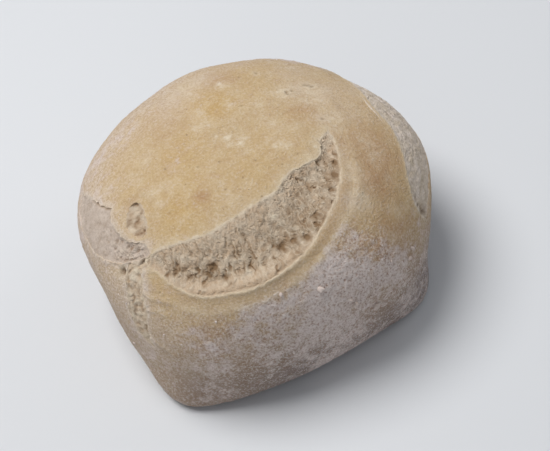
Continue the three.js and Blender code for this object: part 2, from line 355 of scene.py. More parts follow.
class Tear:
    """One opening of the crust between an upper and a lower lip."""

    def __init__(self, name, upper, lower, sink, rim, brim, pale, ragged, seed):
        self.name, self.sink, self.rim, self.pale, self.seed = name, sink, rim, pale, seed
        self.brim = brim
        self.controls = (upper, lower)
        lips = [self.ragged_lip(side, amount) for side, amount in enumerate(ragged)]
        self.ways = np.concatenate([lips[0][0], lips[1][0][::-1]])
        self.share = np.concatenate([lips[0][1], lips[1][1][::-1]])
        self.lower = np.repeat([0.0, 1.0], [len(lips[0][0]), len(lips[1][0])])
        self.points = place(self.ways, reach(self.ways))
        self.tree = kdtree.KDTree(len(self.points))
        for i, point in enumerate(self.points):
            self.tree.insert(point, i)
        self.tree.balance()
        self.centre = unit(self.ways.mean(axis=0))
        self.spread = (self.ways @ self.centre).min()
        side = unit(np.cross(self.centre, [0, 0, 1]))
        self.across = np.stack([side, np.cross(self.centre, side)])
        self.outline = self.flat(self.ways[::2])

    def ragged_lip(self, side, amount):
        """A lip that wanders as torn crust does, with each point's share of its length."""
        ways, along = even_ways(self.controls[side], step=LIP_STEP)
        tangent = unit(np.gradient(ways, axis=0))
        outward = unit(np.cross(tangent, ways))
        run = np.stack([along, along * 0, along * 0], -1)
        seed = self.seed + 40 * side
        wander = noise(run, 4.5, seed) + noise(run, 1.7, seed + 1) + 0.6 * noise(run, 0.7, seed + 2)
        held = smooth(along, 0, 3) * smooth(along, along[-1], along[-1] - 3)
        offset = amount * wander * held / reach(ways)
        return unit(ways + outward * offset[:, None]), along / along[-1]

    def flat(self, ways):
        """Directions as places on a flat sheet that touches the roll at the tear's middle."""
        return (ways @ self.across.T) / np.maximum(0.2, ways @ self.centre)[:, None]

    def distances(self, ways, points):
        """Signed distance in millimetres to the lips, less than 0 inside, and the nearest lip point."""
        distance = np.full(len(ways), FAR)
        nearest = np.zeros(len(ways), int)
        close = np.nonzero(ways @ self.centre > np.cos(np.arccos(self.spread) + 0.2))[0]
        for k in close:
            _, nearest[k], distance[k] = self.tree.find(points[k])
        within = inside(self.outline, self.flat(ways[close]))
        distance[close[within]] *= -1
        return distance, nearest


def oval_lips():
    """The blister's outline as two lips that meet at its ends."""
    turn = np.radians(BLISTER["turn"])
    lips = []
    for stop in (np.pi, -np.pi):
        angle = np.linspace(0, stop, 9)
        x, y = BLISTER["half_long"] * np.cos(angle), BLISTER["half_wide"] * np.sin(angle)
        east = (x * np.cos(turn) - y * np.sin(turn)) / np.cos(np.radians(BLISTER["lat"]))
        north = x * np.sin(turn) + y * np.cos(turn)
        lips.append(list(zip(BLISTER["lon"] + east, BLISTER["lat"] + north)))
    return lips


def all_tears():
    """Every opening of the crust, the blister among them."""
    tears = [Tear(name, **given) for name, given in TEARS.items()]
    upper, lower = oval_lips()
    tears.append(Tear("blister", upper, lower, sink=3.8, rim=0.05, brim=0.05,
                      pale=(0.12, 0.12), ragged=(0.4, 0.4), seed=13))
    return tears


def geodesic(divisions):
    """A ball of even triangles: unit directions and faces."""
    g = (1 + 5 ** 0.5) / 2
    corners = unit(np.array([(-1, g, 0), (1, g, 0), (-1, -g, 0), (1, -g, 0), (0, -1, g), (0, 1, g),
                             (0, -1, -g), (0, 1, -g), (g, 0, -1), (g, 0, 1), (-g, 0, -1), (-g, 0, 1)]))
    sides = [(0, 11, 5), (0, 5, 1), (0, 1, 7), (0, 7, 10), (0, 10, 11), (1, 5, 9), (5, 11, 4),
             (11, 10, 2), (10, 7, 6), (7, 1, 8), (3, 9, 4), (3, 4, 2), (3, 2, 6), (3, 6, 8),
             (3, 8, 9), (4, 9, 5), (2, 4, 11), (6, 2, 10), (8, 6, 7), (9, 8, 1)]
    n = divisions
    steps = [(i, j) for i in range(n + 1) for j in range(n + 1 - i)]
    index = {step: k for k, step in enumerate(steps)}
    one_side = [(index[i, j], index[i + 1, j], index[i, j + 1]) for i, j in steps if i + j < n]
    one_side += [(index[i + 1, j], index[i + 1, j + 1], index[i, j + 1]) for i, j in steps if i + j < n - 1]
    i, j = np.array(steps).T
    shares = np.stack([n - i - j, i, j], -1) / n
    ways = unit(np.concatenate([shares @ corners[list(side)] for side in sides]))
    faces = np.concatenate([np.array(one_side) + k * len(steps) for k in range(len(sides))])
    _, first, same = np.unique(np.round(ways, 7), axis=0, return_index=True, return_inverse=True)
    return ways[first], same.reshape(-1)[faces]


def edges_of(faces, count):
    """The ends of every edge, and which three edges each face has."""
    pairs = np.sort(np.stack([faces, np.roll(faces, -1, axis=1)], axis=2).reshape(-1, 2), axis=1)
    keys, belongs = np.unique(pairs[:, 0] * count + pairs[:, 1], return_inverse=True)
    return np.stack([keys // count, keys % count], -1), belongs.reshape(-1, 3)


def refine(ways, faces, wanted):
    """Halves the edges whose middles are wanted, and divides the faces on them to match."""
    ends, face_edges = edges_of(faces, len(ways))
    middles = unit(ways[ends[:, 0]] + ways[ends[:, 1]])
    halved = wanted(middles)
    index = np.cumsum(halved) - 1 + len(ways)
    marks = halved[face_edges]
    count = marks.sum(axis=1)
    divided = [faces[count == 0]]
    for marked in (1, 2, 3):
        chosen = count == marked
        odd = np.zeros(chosen.sum(), int)
        if marked < 3:
            odd = np.argmax(marks[chosen] == (marked == 1), axis=1)
        order = (odd[:, None] + np.arange(3)) % 3
        a, b, c = np.take_along_axis(faces[chosen], order, 1).T
        m0, m1, m2 = np.take_along_axis(index[face_edges[chosen]], order, 1).T
        parts = {1: [(a, m0, c), (m0, b, c)], 2: [(a, b, m1), (a, m1, m2), (m1, c, m2)],
                 3: [(a, m0, m2), (m0, b, m1), (m2, m1, c), (m0, m1, m2)]}[marked]
        divided += [np.stack(part, -1) for part in parts]
    return np.concatenate([ways, middles[halved]]), np.concatenate(divided)


def nearest_lips(tears, ways, points):
    """Signed distance to the nearest lip, which tear it is on, and the lip point's number."""
    best = np.full(len(ways), FAR)
    which = np.zeros(len(ways), int)
    lip_point = np.zeros(len(ways), int)
    for k, tear in enumerate(tears):
        distance, nearest = tear.distances(ways, points)
        closer = distance < best
        best[closer], which[closer], lip_point[closer] = distance[closer], k, nearest[closer]
    return best, which, lip_point


def outward(points, faces):
    """The faces of a closed mesh, all turned if they point inwards."""
    a, b, c = (points[faces[:, k]] for k in range(3))
    volume = np.sum(a * np.cross(b, c))
    return faces if volume > 0 else faces[:, ::-1]


def join_corners(ways, faces):
    """Which corners stay when those in the same place are joined, and the faces left whole."""
    _, first, same = np.unique(np.round(ways, 6), axis=0, return_index=True, return_inverse=True)
    faces = same.reshape(-1)[faces]
    a, b, c = faces.T
    faces = faces[(a != b) & (b != c) & (c != a)]
    _, kind, count = np.unique(np.sort(faces, axis=1), axis=0, return_inverse=True, return_counts=True)
    used, faces = np.unique(faces[count[kind.reshape(-1)] == 1], return_inverse=True)
    return first[used], faces.reshape(-1, 3)


def between(ways, ends):
    """For each corner, the place midway between those it is joined to."""
    total = np.zeros_like(ways)
    joined = np.zeros(len(ways))
    for a, b in (ends.T, ends.T[::-1]):
        np.add.at(total, a, ways[b])
        np.add.at(joined, a, 1)
    return unit(total / joined[:, None])


def facing(ways, faces):
    """Above 0 for the faces that point away from the heart."""
    a, b, c = (ways[faces[:, k]] for k in range(3))
    return np.sum(a * np.cross(b, c), axis=1)


# How finely the skin is divided, with distances in millimetres
BALL_DIVISIONS = 52
COARSE_BELOW = 0.8  # the base, which stays coarse
HIDDEN_INSIDE = 1.6  # and so does the skin this far inside a lip, under the crumb
FINE_BAND = 1.25
SNAP = 0.15
EVENING_BAND = 1.2
EVENING_ROUNDS = 4
UNFOLDING_ROUNDS = 12


def crust_net(tears):
    """Directions and faces of the skin, fine along the lips, with corners set on the lips."""
    def not_hidden(middles):
        points = place(middles, reach(middles))
        distance, _, _ = nearest_lips(tears, middles, points)
        return (points[:, 2] > COARSE_BELOW) & (distance > -HIDDEN_INSIDE)

    def by_the_lips(middles):
        distance, _, _ = nearest_lips(tears, middles, place(middles, reach(middles)))
        return np.abs(distance) < FINE_BAND

    ways, faces = geodesic(BALL_DIVISIONS)
    ways, faces = refine(ways, faces, not_hidden)
    ways, faces = refine(ways, faces, by_the_lips)
    distance, which, lip_point = nearest_lips(tears, ways, place(ways, reach(ways)))
    on_lip = np.abs(distance) < SNAP
    near = np.nonzero(np.abs(distance) < EVENING_BAND)[0]
    ends, _ = edges_of(faces, len(ways))
    for _ in range(EVENING_ROUNDS):
        for k in np.nonzero(on_lip)[0]:
            tear = tears[which[k]]
            _, i, _ = tear.tree.find(HEART + ways[k] * np.linalg.norm(tear.points[lip_point[k]] - HEART))
            ways[k] = tear.ways[i]
            lip_point[k] = i
        free = near[~on_lip[near]]
        ways[free] = unit(lerp(ways[free], between(ways, ends)[free], 0.5))
    stay, faces = join_corners(ways, faces)
    ways, on_lip = ways[stay], on_lip[stay]
    ends, _ = edges_of(faces, len(ways))
    for _ in range(UNFOLDING_ROUNDS):
        folded = np.unique(faces[facing(ways, faces) <= 0])
        ways[folded] = between(ways, ends)[folded]
    distance, which, lip_point = nearest_lips(tears, ways, place(ways, reach(ways)))
    distance[on_lip] = 0.0
    return ways, faces, distance, which, lip_point


def along_path(points, controls, width):
    """A soft ridge of 1 along a run of places on the skin, of a width in millimetres."""
    ways, _ = even_ways(controls, step=0.4)
    path = place(ways, reach(ways))
    nearest = np.full(len(points), FAR)
    close = np.linalg.norm(points - path.mean(axis=0), axis=1) < np.ptp(path, axis=0).max() + 6 * width
    for spot in path:
        nearest[close] = np.minimum(nearest[close], np.linalg.norm(points[close] - spot, axis=1))
    return ridge(nearest, 0, width)


def at_spot(points, lon, lat, width):
    """A soft rise of 1 at one place on the skin, of a width in millimetres."""
    way = direction(lon, lat)
    spot = place(way[None], reach(way[None]))[0]
    return ridge(np.linalg.norm(points - spot, axis=1), 0, width)


# Wrinkles and creases of the skin: run, rise in millimetres (less than 0 for a groove), width
CREASES = [
    ([(150.3, 30), (146, 33), (137.4, 37.4), (128, 39.4), (118, 38.6), (109, 37)], -0.3, 0.7),
    ([(149, 35.5), (141, 38.6), (131, 42), (120, 43)], 0.16, 1.0),
    ([(-146.5, 19.6), (-143, 18.6), (-139.5, 19.4), (-135.5, 19.4)], 0.3, 0.6),
    ([(-143.6, 14.2), (-140.2, 15.4), (-137, 15)], 0.22, 0.6),
    ([(-142, 3.5), (-138.9, 2.3), (-136.3, 1.3), (-133.5, -0.2)], 0.35, 0.7),
    ([(-156.8, 24.5), (-160, 23.8), (-163, 22)], 0.35, 0.8),
    ([(-152, 46), (-157, 45.5), (-163, 46.5), (-171, 46)], 0.2, 1.3),
    ([(-156, 31.5), (-165, 31.6), (-172, 33.5), (-175, 38), (-174, 43.5)], 0.42, 1.5),
    ([(-25, 47.2), (-35, 44.6), (-46, 40.4), (-56, 36.6)], -0.14, 1.3),
    ([(-28, 44.6), (-38, 41.4), (-47, 37.4), (-56, 33.8)], 0.12, 1.4),
    ([(24, 44), (12, 46), (2, 46.5), (-8, 45.5)], 0.18, 1.6),
    ([(36, 30), (46, 26), (58, 24.5), (70, 26)], 0.25, 1.2),
    ([(100, 18), (112, 14), (125, 13), (138, 15)], -0.22, 1.0),
]

# The rough crest between the left patch and the corner: its middle and width, and its run
KNOT = (-152, 25, 3.4)
KNOT_RIDGE = [(-167, 20.5), (-160, 23), (-154.5, 26), (-149.5, 30)]

# Pits in the skin, each with a raised pale halo: longitude, latitude, width, depth
PITS = [
    (-3.8, 52.9, 0.45, 0.35), (33.2, 55.2, 0.45, 0.35), (31.4, 56.0, 0.5, 0.4),
    (30.9, 53.6, 0.45, 0.35), (28.8, 56.2, 0.4, 0.3), (29.6, 46.9, 0.5, 0.35),
    (28.2, 45.9, 0.55, 0.45), (25.8, 45.7, 0.45, 0.3), (-155.7, 21.2, 0.9, 1.5),
    (-149.2, 27.6, 0.9, 1.6), (95, 35, 0.5, 0.5), (61, 47, 0.45, 0.4), (-178, 7, 0.5, 0.4),
    (120, 8, 0.5, 0.5), (-10, -6, 0.5, 0.4), (70, 5, 0.5, 0.5),
]

# Small reliefs of the skin and of the band below the front rim, in millimetres
PIT_RIM = 0.14
DIMPLE_DEPTH = 0.16
BAND_DIP = 0.16
BAND_STEP = 0.12
SPECK_WIDTH = 0.26

# Flour rubbed or spilt on the skin: longitude, latitude, width, strength
FLOUR_RUBS = [
    (83.5, 54.0, 1.6, 0.6), (81.2, 68.3, 2.2, 0.35), (128.3, 71.5, 1.9, 0.45),
    (139.9, 69.5, 1.5, 0.4), (162.7, 84.5, 1.1, 0.7), (-150.6, 83.7, 1.0, 0.6),
    (-60, 87, 1.4, 0.45), (153.9, 79.8, 0.8, 0.4), (167.5, 49.3, 1.9, 0.35),
    (-42.2, 71.2, 1.4, 0.75), (4.9, 73.0, 1.5, 0.35), (-39.6, 76.3, 1.0, 0.35),
    (23.2, 47.7, 3.4, 0.5), (34, 56, 3.0, 0.55), (14, 52, 2.4, 0.4), (-5.0, 48.8, 2.6, 0.35),
    (-38.7, 67.1, 1.1, 0.9), (-32.8, 56.8, 0.9, 0.6), (-14.2, 48.3, 2.2, 0.35),
    (-44.1, 40.1, 2.0, 0.42), (-50.3, 34.5, 2.6, 0.5), (-39, 43, 2.0, 0.3),
    (170, 84.5, 1.0, 0.6), (-103, 85.4, 1.0, 0.6), (47.4, 67.5, 2.2, 0.3),
    (-166, 47.5, 2.2, 0.25), (-158, 46.5, 1.5, 0.25), (117.7, 64.4, 1.6, 0.35),
    (100, 47, 4.5, 0.3), (-28, 36, 2.6, 0.3), (-20, 40, 2.8, 0.25),
]

# Bran specks that stand out: longitude, latitude
SPECKS = [
    (-121.5, 60.6), (-141.2, 73.0), (71.0, 50.5), (66.7, 70.1), (-63.2, 64.3), (-94.1, 55.9),
    (-26.7, 56.0), (-32.6, 42.3), (-177.9, 55.3), (-106, 66), (-84, 73), (-45, 62), (150, 66),
    (-160, 66),
]

# Where the crust is baked browner (above 0) or paler: longitude, latitude, spread, strength
BAKED = [
    (-137.4, 55.8, 3.0, 0.7), (83.9, 49.5, 7, 0.45), (138.1, 53.0, 9, 0.25),
    (9.0, 59.1, 7, 0.35), (-40.7, 33.0, 6, 0.55), (-20, 38, 10, 0.45), (-128.2, -13.7, 8, 0.35),
    (-72.9, -0.6, 9, 0.3), (-155.3, -3.8, 5, 0.4), (-125.1, 11.0, 8, 0.12),
    (-120.9, 5.4, 7, 0.2), (-171, 38, 3.5, 0.3), (-52, 17, 10, 0.6), (-30, 33, 9, 0.3),
    (0, -10, 25, 0.2), (90, -5, 30, 0.3), (160, -12, 25, 0.3),
]
YELLOWED = [
    (95.2, 65.1, 9, 0.9), (-146.5, 46.5, 9, 0.7), (-96.6, 68.9, 12, 0.35),
    (-130.4, 21.6, 6, 0.1), (-122, 9, 9, 0.2), (-60, 75, 10, 0.2), (-142, 24, 4, 0.12),
    (-52, 20, 9, 0.4), (20, 44, 8, 0.2), (170, 62, 12, 0.35),
]

# Where a thin even film of flour greys the skin: longitude, latitude, spread, strength
HAZED = [
    (117, 45, 13, 0.5), (148, 31, 13, 0.3), (92.8, 44.1, 10, 0.4), (139, 38, 9, 0.2),
    (18, 42, 12, 0.42), (28, 49, 8, 0.4), (0.5, 43, 9, 0.3), (44, 41, 9, 0.3), (-4, 53, 4, 0.45),
    (-152, 30, 5, 0.5), (-163, 31, 5, 0.35), (-55, 37, 5, 0.4), (-45, 38, 5, 0.1),
    (-59, 12, 12, 0.3),
]

# The tears, by their place in the list, whose lips fade into the crust: the patch and the seam
SOFT_TEARS = (1, 2)

# Where the flour is rubbed thin on the floured skin: longitude, latitude, spread, share lost
WORN = [
    (-138, 6, 7, 0.38), (-131, -9, 7, 0.35), (-122, 13, 5, 0.25), (-112, 1, 5, 0.2),
    (-62, -6, 7, 0.3), (-100, -18, 7, 0.25), (-45, 2, 8, 0.3), (-20, -10, 9, 0.3),
    (30, 5, 9, 0.35), (75, 14, 8, 0.3), (110, -5, 10, 0.35), (150, 8, 8, 0.3),
    (-165, 2, 8, 0.35), (175, -14, 9, 0.3), (-92, 12, 4, 0.25),
]


# How the flour lies round the roll, each as pairs of longitude and value
FLOUR_EDGE = [
    (-180, 33), (-165, 30), (-150, 22), (-135, 14), (-122, 19), (-111, 21.8), (-101, 23.3),
    (-89, 26.6), (-75, 31.5), (-68, 33), (-63, 28), (-57, 20), (-50, 12), (-40, 8), (-25, 8),
    (0, 10), (20, 18), (40, 30), (60, 34), (85, 38), (100, 43), (125, 46), (145, 40), (158, 36),
    (180, 33),
]
FLOUR_SOFT = [
    (-180, 9), (-135, 9), (-111, 8), (-75, 8), (-62, 15), (-40, 17), (0, 13), (60, 13),
    (180, 13),
]
FLOUR_THICK = [
    (-180, 0.36), (-165, 0.36), (-152, 0.4), (-140, 0.48), (-128, 0.58), (-112, 0.86),
    (-90, 0.98), (-60, 1.06), (-45, 0.84), (-30, 0.62), (0, 0.6), (40, 0.55), (90, 0.42),
    (120, 0.36), (150, 0.36), (180, 0.36),
]
FILM_THICK = [
    (-180, 0.5), (-150, 0.5), (-138, 0.46), (-125, 0.3), (-60, 0.34), (-30, 0.28), (0, 0.35),
    (40, 0.45), (90, 0.5), (180, 0.5),
]
DULLED = [
    (-180, 0.3), (-140, 0.05), (-118, 0.1), (-100, 0.3), (-60, 0.3), (-30, 0.42), (0, 0.3),
    (180, 0.3),
]
# How much painted shade darkens the foot, by longitude
FOOT_PAINTED_SHADE = [
    (-180, 0.5), (-150, 0.4), (-128, 1), (20, 1), (90, 0.5),
]


def read_off(value, pairs):
    """The value read off a run of pairs of place and value."""
    return np.interp(value, *np.array(pairs, float).T)


def marks(ways, places):
    """Soft rises at a list of places, each with its spread and strength, added up."""
    return sum(strength * bump(ways, direction(lon, lat), spread) for lon, lat, spread, strength in places)


def flour_by_place(ways):
    """How thick flour and its film lie on the skin, how dull the skin is with painted shade at the foot,
    and the latitude.
    """
    lon = np.degrees(np.arctan2(ways[:, 1], ways[:, 0]))
    lat = np.degrees(np.arcsin(np.clip(ways[:, 2], -1, 1)))
    edge = read_off(lon, FLOUR_EDGE) + 4 * noise(ways, 0.16, 81) + 3 * noise(ways, 0.06, 82)
    soft = read_off(lon, FLOUR_SOFT)
    low = smooth(lat, edge + soft, edge - soft)
    # Toward the foot the flour and its film thin and the skin dulls: painted shade, darker toward the
    # bottom.
    foot = smooth(lat, 12, -16) * read_off(lon, FOOT_PAINTED_SHADE)
    thick = low * read_off(lon, FLOUR_THICK) * (1 - 0.33 * foot)
    film = low * read_off(lon, FILM_THICK) * (1 - 0.6 * foot)
    dull = low * (read_off(lon, DULLED) * smooth(lat, 24, 2) + 0.55 * foot)
    return thick, film, dull, lat


class Lips:
    """For each corner of the skin: how far the nearest lip is, and what it is like there."""

    def __init__(self, tears, distance, which, lip_point):
        self.tears, self.distance, self.which = tears, distance, which
        self.out = np.maximum(distance, 0.0)
        self.within = np.maximum(-distance, 0.0)
        self.share = np.array([tears[k].share[i] for k, i in zip(which, lip_point)])
        self.lower = np.array([tears[k].lower[i] for k, i in zip(which, lip_point)])
        self.front = which == 0
        self.swell = np.clip(np.sin(np.pi * self.share), 0, 1) ** 0.5
        self.rolled = self.front * smooth(self.share, 0.4, 0.75)

    def own(self, key):
        """The nearest tear's own value of one kind."""
        return np.array([getattr(tear, key) for tear in self.tears])[self.which]


def spread_flour(ways, points, thick, band):
    """Flour on the skin, worn thin in places, and the marks where it is rubbed or spilt."""
    flour = thick * (1 - np.clip(marks(ways, WORN), 0, 1))
    rubbed = np.zeros(len(points))
    for lon, lat, width, strength in FLOUR_RUBS:
        rubbed = np.maximum(rubbed, strength * at_spot(points, lon, lat, width))
    rubbed *= np.clip(0.75 + 0.9 * noise(points, 1.4, 64) + 0.6 * noise(points, 0.6, 65), 0, 1.3)
    flour = np.maximum(flour, 0.45 * rubbed) * smooth(points[:, 2], 0.7, 2.4)
    return flour * (1 - 0.9 * band), rubbed


def pits_and_specks(points):
    """What the skin's pits add to its rise, their pale halos, the dark of specks, and the painted shade in
    pits.
    """
    bent = points + 0.45 * np.stack([noise(points, 1.1, seed) for seed in (75, 76, 77)], -1)
    rise, halo, dark = np.zeros((3, len(points)))
    for lon, lat, width, depth in PITS:
        pit = at_spot(bent, lon, lat, width)
        rise += PIT_RIM * at_spot(bent, lon, lat, 2.4 * width) - (depth + PIT_RIM) * pit
        halo = np.maximum(halo, at_spot(bent, lon, lat, 2.6 * width) - pit)
        # A pit is painted darker the greater its depth: painted shade.
        dark = np.maximum(dark, min(1.0, 0.5 + 0.35 * depth) * pit)
    for lon, lat in SPECKS:
        dark = np.maximum(dark, 0.65 * at_spot(points, lon, lat, SPECK_WIDTH))
    return rise, halo, dark


def skin_relief(points, flour, band, sizes):
    """Rise of the skin: soft lumps, a grain where flour lies thick, dimples and creases."""
    lump, grain = sizes.skin_lump / MM, sizes.skin_grain / MM
    rise = lump * (0.6 * noise(points, 5.5, 21) + 0.45 * noise(points, 2.6, 22))
    floured = lerp(0.25, 1.0, smooth(flour, 0.2, 0.7))
    rise += floured * grain * (noise(points, 1.15, 23) + 0.5 * noise(points, 2.1, 24))
    dimples, _, drawn = bubbles(points, 3.1, 25)
    rise -= DIMPLE_DEPTH * smooth(dimples, 0.32, 0.05) * (drawn > 0.72)
    rise *= 1 - 0.6 * band
    for controls, height, width in CREASES:
        rise += height * along_path(points, controls, width)
    return rise


def lip_relief(points, lips, rim_mm, band_mm):
    """Rise along the lips: upper ones turn down a little, lower ones curl out in a rim."""
    out, rolled = lips.out, lips.rolled
    wavy = 1 + 0.35 * noise(points, 3.8, 26) + 0.3 * noise(points, 1.6, 27)
    wavy += 0.4 * noise(points, 0.7, 85)
    curl = ridge(out, lerp(0.4, 1.9, rolled) * rim_mm, lerp(0.7, 2.0, rolled) * rim_mm)
    curl *= lips.own("rim") * wavy * lerp(1, 1.25, rolled) * lerp(1, 0.3, rolled)
    dip = ridge(out, rim_mm + 0.5 * band_mm, 0.5 * band_mm) * lips.front * (1 - rolled)
    step = ridge(out, rim_mm + 1.25 * band_mm, 0.35 * band_mm) * lips.front
    brim = lips.own("brim") * ridge(out, 0, 0.7)
    lower = curl - BAND_DIP * dip + BAND_STEP * step
    return lips.swell * (lips.lower * lower + (1 - lips.lower) * brim)


def lip_glow(points, lips, band_mm):
    """How pale the crust is along its lips, where it is torn thin."""
    out, front, lower = lips.out, lips.front, lips.lower
    torn = np.clip(0.75 + 0.6 * noise(points, 1.1, 28) + 0.35 * noise(points, 4.0, 29), 0, 1.1)
    upper_pale, lower_pale = lips.own("pale").T
    glow = 1.0 + 1.3 * front * (1 - lower) * smooth(lips.share, 0.35, 0.8) - 0.4 * lower * front
    edge = 0.75 * ridge(out, 0, lerp(0.34, 0.27, front * lower)) * torn + 0.42 * ridge(out, 0, 1.1 * glow)
    edge *= np.where(lower > 0, lower_pale, upper_pale) * (1 - 0.25 * lips.rolled * lower)
    verge = ridge(out, 1.35 * band_mm, 0.9) * lower * front * torn
    edge = np.maximum(edge, 0.35 * verge * lips.swell)
    return np.where(lips.distance > -0.01, edge, 0) * lerp(0.6, 1.0, lips.swell)


def crust_mesh(tears, sizes):
    """Points, faces and finish of the skin of crust."""
    ways, faces, distance, which, lip_point = crust_net(tears)
    radius = reach(ways)
    points = place(ways, radius)
    lips = Lips(tears, distance, which, lip_point)
    rim_mm, band_mm = sizes.rim_width / MM, sizes.band_width / MM
    band = lips.lower * lips.front * smooth(lips.out, band_mm * 1.35, band_mm * 0.8)
    band = band * smooth(lips.share, 0.02, 0.12)
    thick, haze, dull, lat = flour_by_place(ways)
    flour, rubbed = spread_flour(ways, points, thick, band)

    pit_rise, halo, dark = pits_and_specks(points)
    rise = skin_relief(points, flour, band, sizes) + pit_rise
    knot = np.maximum(at_spot(points, *KNOT), 0.8 * along_path(points, KNOT_RIDGE, 1.6))
    rise += knot * (0.2 + 0.35 * noise(points, 1.5, 61) + 0.25 * noise(points, 0.8, 62)) * (1 - dark)
    on_base = smooth(points[:, 2], 2.0, 0.3)
    rise = rise * (1 - on_base) + lip_relief(points, lips, rim_mm, band_mm)

    # Inside a lip the crust drops away under the crumb
    sink = lips.own("sink")
    sunk = lerp(sink * 0.45, sink, smooth(lips.within, 0.1, 0.9))
    rise = np.where(lips.within > 0.01, -sunk, rise)

    edge = np.maximum(np.maximum(lip_glow(points, lips, band_mm), 0.45 * halo), rubbed)
    # The crust browns where listed, on the base and under thick flour; its browning toward the bottom by
    # latitude is painted shade.
    bake = marks(ways, BAKED) + 0.4 * smooth(lat, -6, -26) + 0.3 * on_base + 0.4 * smooth(thick, 0.25, 0.7)
    bake = np.maximum(bake, lerp(0.1, 0.3, lips.rolled) * band)
    yellow = marks(ways, YELLOWED) * (1 - 0.6 * smooth(thick, 0.2, 0.6))
    for place_of_haze in HAZED:
        haze = np.maximum(haze, marks(ways, [place_of_haze]))
    haze = np.maximum(haze, 0.8 * ridge(lips.out, 0, 1.9) * np.isin(which, SOFT_TEARS))
    haze = np.maximum(haze, 0.12 * band)
    haze = np.maximum(haze * (0.85 + 0.3 * noise(points, 3.2, 83)), 0.75 * knot)
    finish = {"flour": flour, "haze": haze, "dull": dull * (1 - band), "bake": bake,
              "yellow": yellow, "lip": edge, "dark": dark}
    return place(ways, radius + rise), faces, finish


# Open pores of the crumb in each tear: longitude, latitude, width, depth
PORES = {
    "front": [
        (-136.6, 30.4, 0.65, 0.8), (-136.2, 29.0, 0.75, 0.9), (-135.8, 27.9, 0.6, 0.7),
        (-139.5, 26.6, 0.9, 0.8), (-137, 24.8, 0.7, 0.6), (-134.3, 24.0, 0.6, 0.7),
        (-122.9, 32.0, 1.05, 1.0), (-123.2, 28.9, 0.5, 0.6), (-124.8, 27.3, 0.6, 0.8),
        (-120.8, 28.0, 0.6, 0.8), (-117.8, 28.7, 0.7, 0.8), (-130, 27.6, 0.75, 0.7),
        (-133, 29.6, 0.6, 0.6), (-115.2, 27.0, 0.5, 0.6), (-107.8, 27.2, 0.55, 0.7),
        (-107.2, 31.2, 0.6, 0.7), (-111.9, 30.8, 0.6, 0.6), (-120.6, 33.4, 0.5, 0.7),
        (-127, 28.0, 0.5, 0.5), (-15.4, 50.9, 0.45, 0.6), (-25.5, 50.0, 0.6, 0.8),
        (-32.5, 48.6, 0.55, 0.6), (-39.4, 47.4, 0.75, 0.9), (-46.6, 45.2, 0.9, 1.0),
        (-55.2, 43.6, 0.75, 0.8), (-72.2, 40.8, 0.75, 0.8), (-73.3, 38.2, 0.6, 0.7),
        (-80.8, 35.9, 0.85, 0.8), (-92.4, 35.6, 1.0, 0.9), (-86, 36.5, 0.6, 0.6),
        (-96, 36.5, 0.5, 0.5), (-62, 43.4, 0.5, 0.5),
    ],
    "patch": [
        (-165.0, 27.1, 0.55, 0.6), (-164.2, 25.4, 0.6, 0.6), (-162.8, 28.8, 0.55, 0.6),
        (-157.1, 29.9, 0.7, 0.9), (-158.8, 28.3, 0.8, 0.5), (-159.7, 24.0, 0.5, 0.5),
        (-158.6, 26.5, 0.45, 0.4), (-154.0, 29.6, 0.6, 0.6), (-154.6, 26.4, 0.5, 0.5),
        (-156.5, 25.1, 0.5, 0.5), (-168.8, 25.0, 0.45, 0.3), (-172.5, 25.9, 0.4, 0.25),
        (-163.4, 27.4, 0.4, 0.4), (-167, 22.5, 0.4, 0.3), (-162, 23.2, 0.4, 0.35),
        (-161, 27.0, 0.4, 0.4), (-177.3, 26.4, 0.4, 0.2), (-170, 28.4, 0.4, 0.25),
    ],
    "seam": [
        (-150.2, 23.4, 0.5, 0.6), (-146.8, 17.8, 0.5, 0.6),
    ],
    "side": [
        (0.3, 26.9, 0.7, 0.6), (-24.8, 25.0, 0.6, 0.6), (-26.7, 23.8, 0.5, 0.5),
        (-32.1, 17.0, 0.7, 0.7), (-33.6, 14.8, 0.6, 0.7), (-32.6, 11.2, 1.3, 1.6),
        (-31.6, 9.8, 1.0, 1.5), (-14, 20, 0.5, 0.4), (12, 20, 0.6, 0.5), (24, 22, 0.5, 0.5),
    ],
    "blister": [
        (-156.4, 35.7, 0.75, 0.9), (-157.2, 34.5, 0.7, 0.8), (-158.2, 33.6, 0.5, 0.5),
    ],
}
PORE_SHARE = 0.6  # how much of its listed depth a pore has

# Where the front tear's crumb is browner: longitude, latitude, width, strength
BROWNER = [
    (-123, 30, 2.6, 0.35), (-136, 28, 2.4, 0.3), (-115, 29, 2, 0.25), (-90, 37, 3, 0.3),
    (-73, 39, 2.4, 0.3), (-50, 46.5, 2.4, 0.25), (-57, 55, 2, 0.2), (-78, 44, 2.6, 0.25),
    (-40, 50, 2, 0.2), (-104, 33, 2.2, 0.2), (-112, 38, 2.4, 0.15), (-66, 48, 2.2, 0.2),
]

# Folds in the blister's floor, painted dark, brown in part and painted shade in part: run, width, depth
FOLDS = [
    ([(-168.6, 34.8), (-170.6, 36.3), (-171.6, 37.9), (-170.8, 39.4), (-168.4, 40.4)], 0.65, 0.6),
    ([(-164.0, 40.0), (-163.5, 38.2), (-162.9, 36.8), (-161.9, 35.2)], 0.55, 0.6),
    ([(-165.6, 35.2), (-164.6, 34.0)], 0.65, 0.35),
    ([(-161.4, 40.2), (-159.4, 39.2)], 0.45, 0.25),
]
FOLD_SHARE = 0.4  # how much of its listed depth a fold has

# Pale spots on the crumb, of flour or thin skin: longitude, latitude, width, strength
PALE_SPOTS = {
    "front": [
        (-91.3, 47.1, 0.85, 0.9),
    ],
    "blister": [
        (-161.4, 33.7, 0.42, 0.6), (-165.8, 38.4, 1.2, 0.3),
    ],
    "seam": [
        (-151.4, 24.7, 1.1, 0.7),
    ],
}

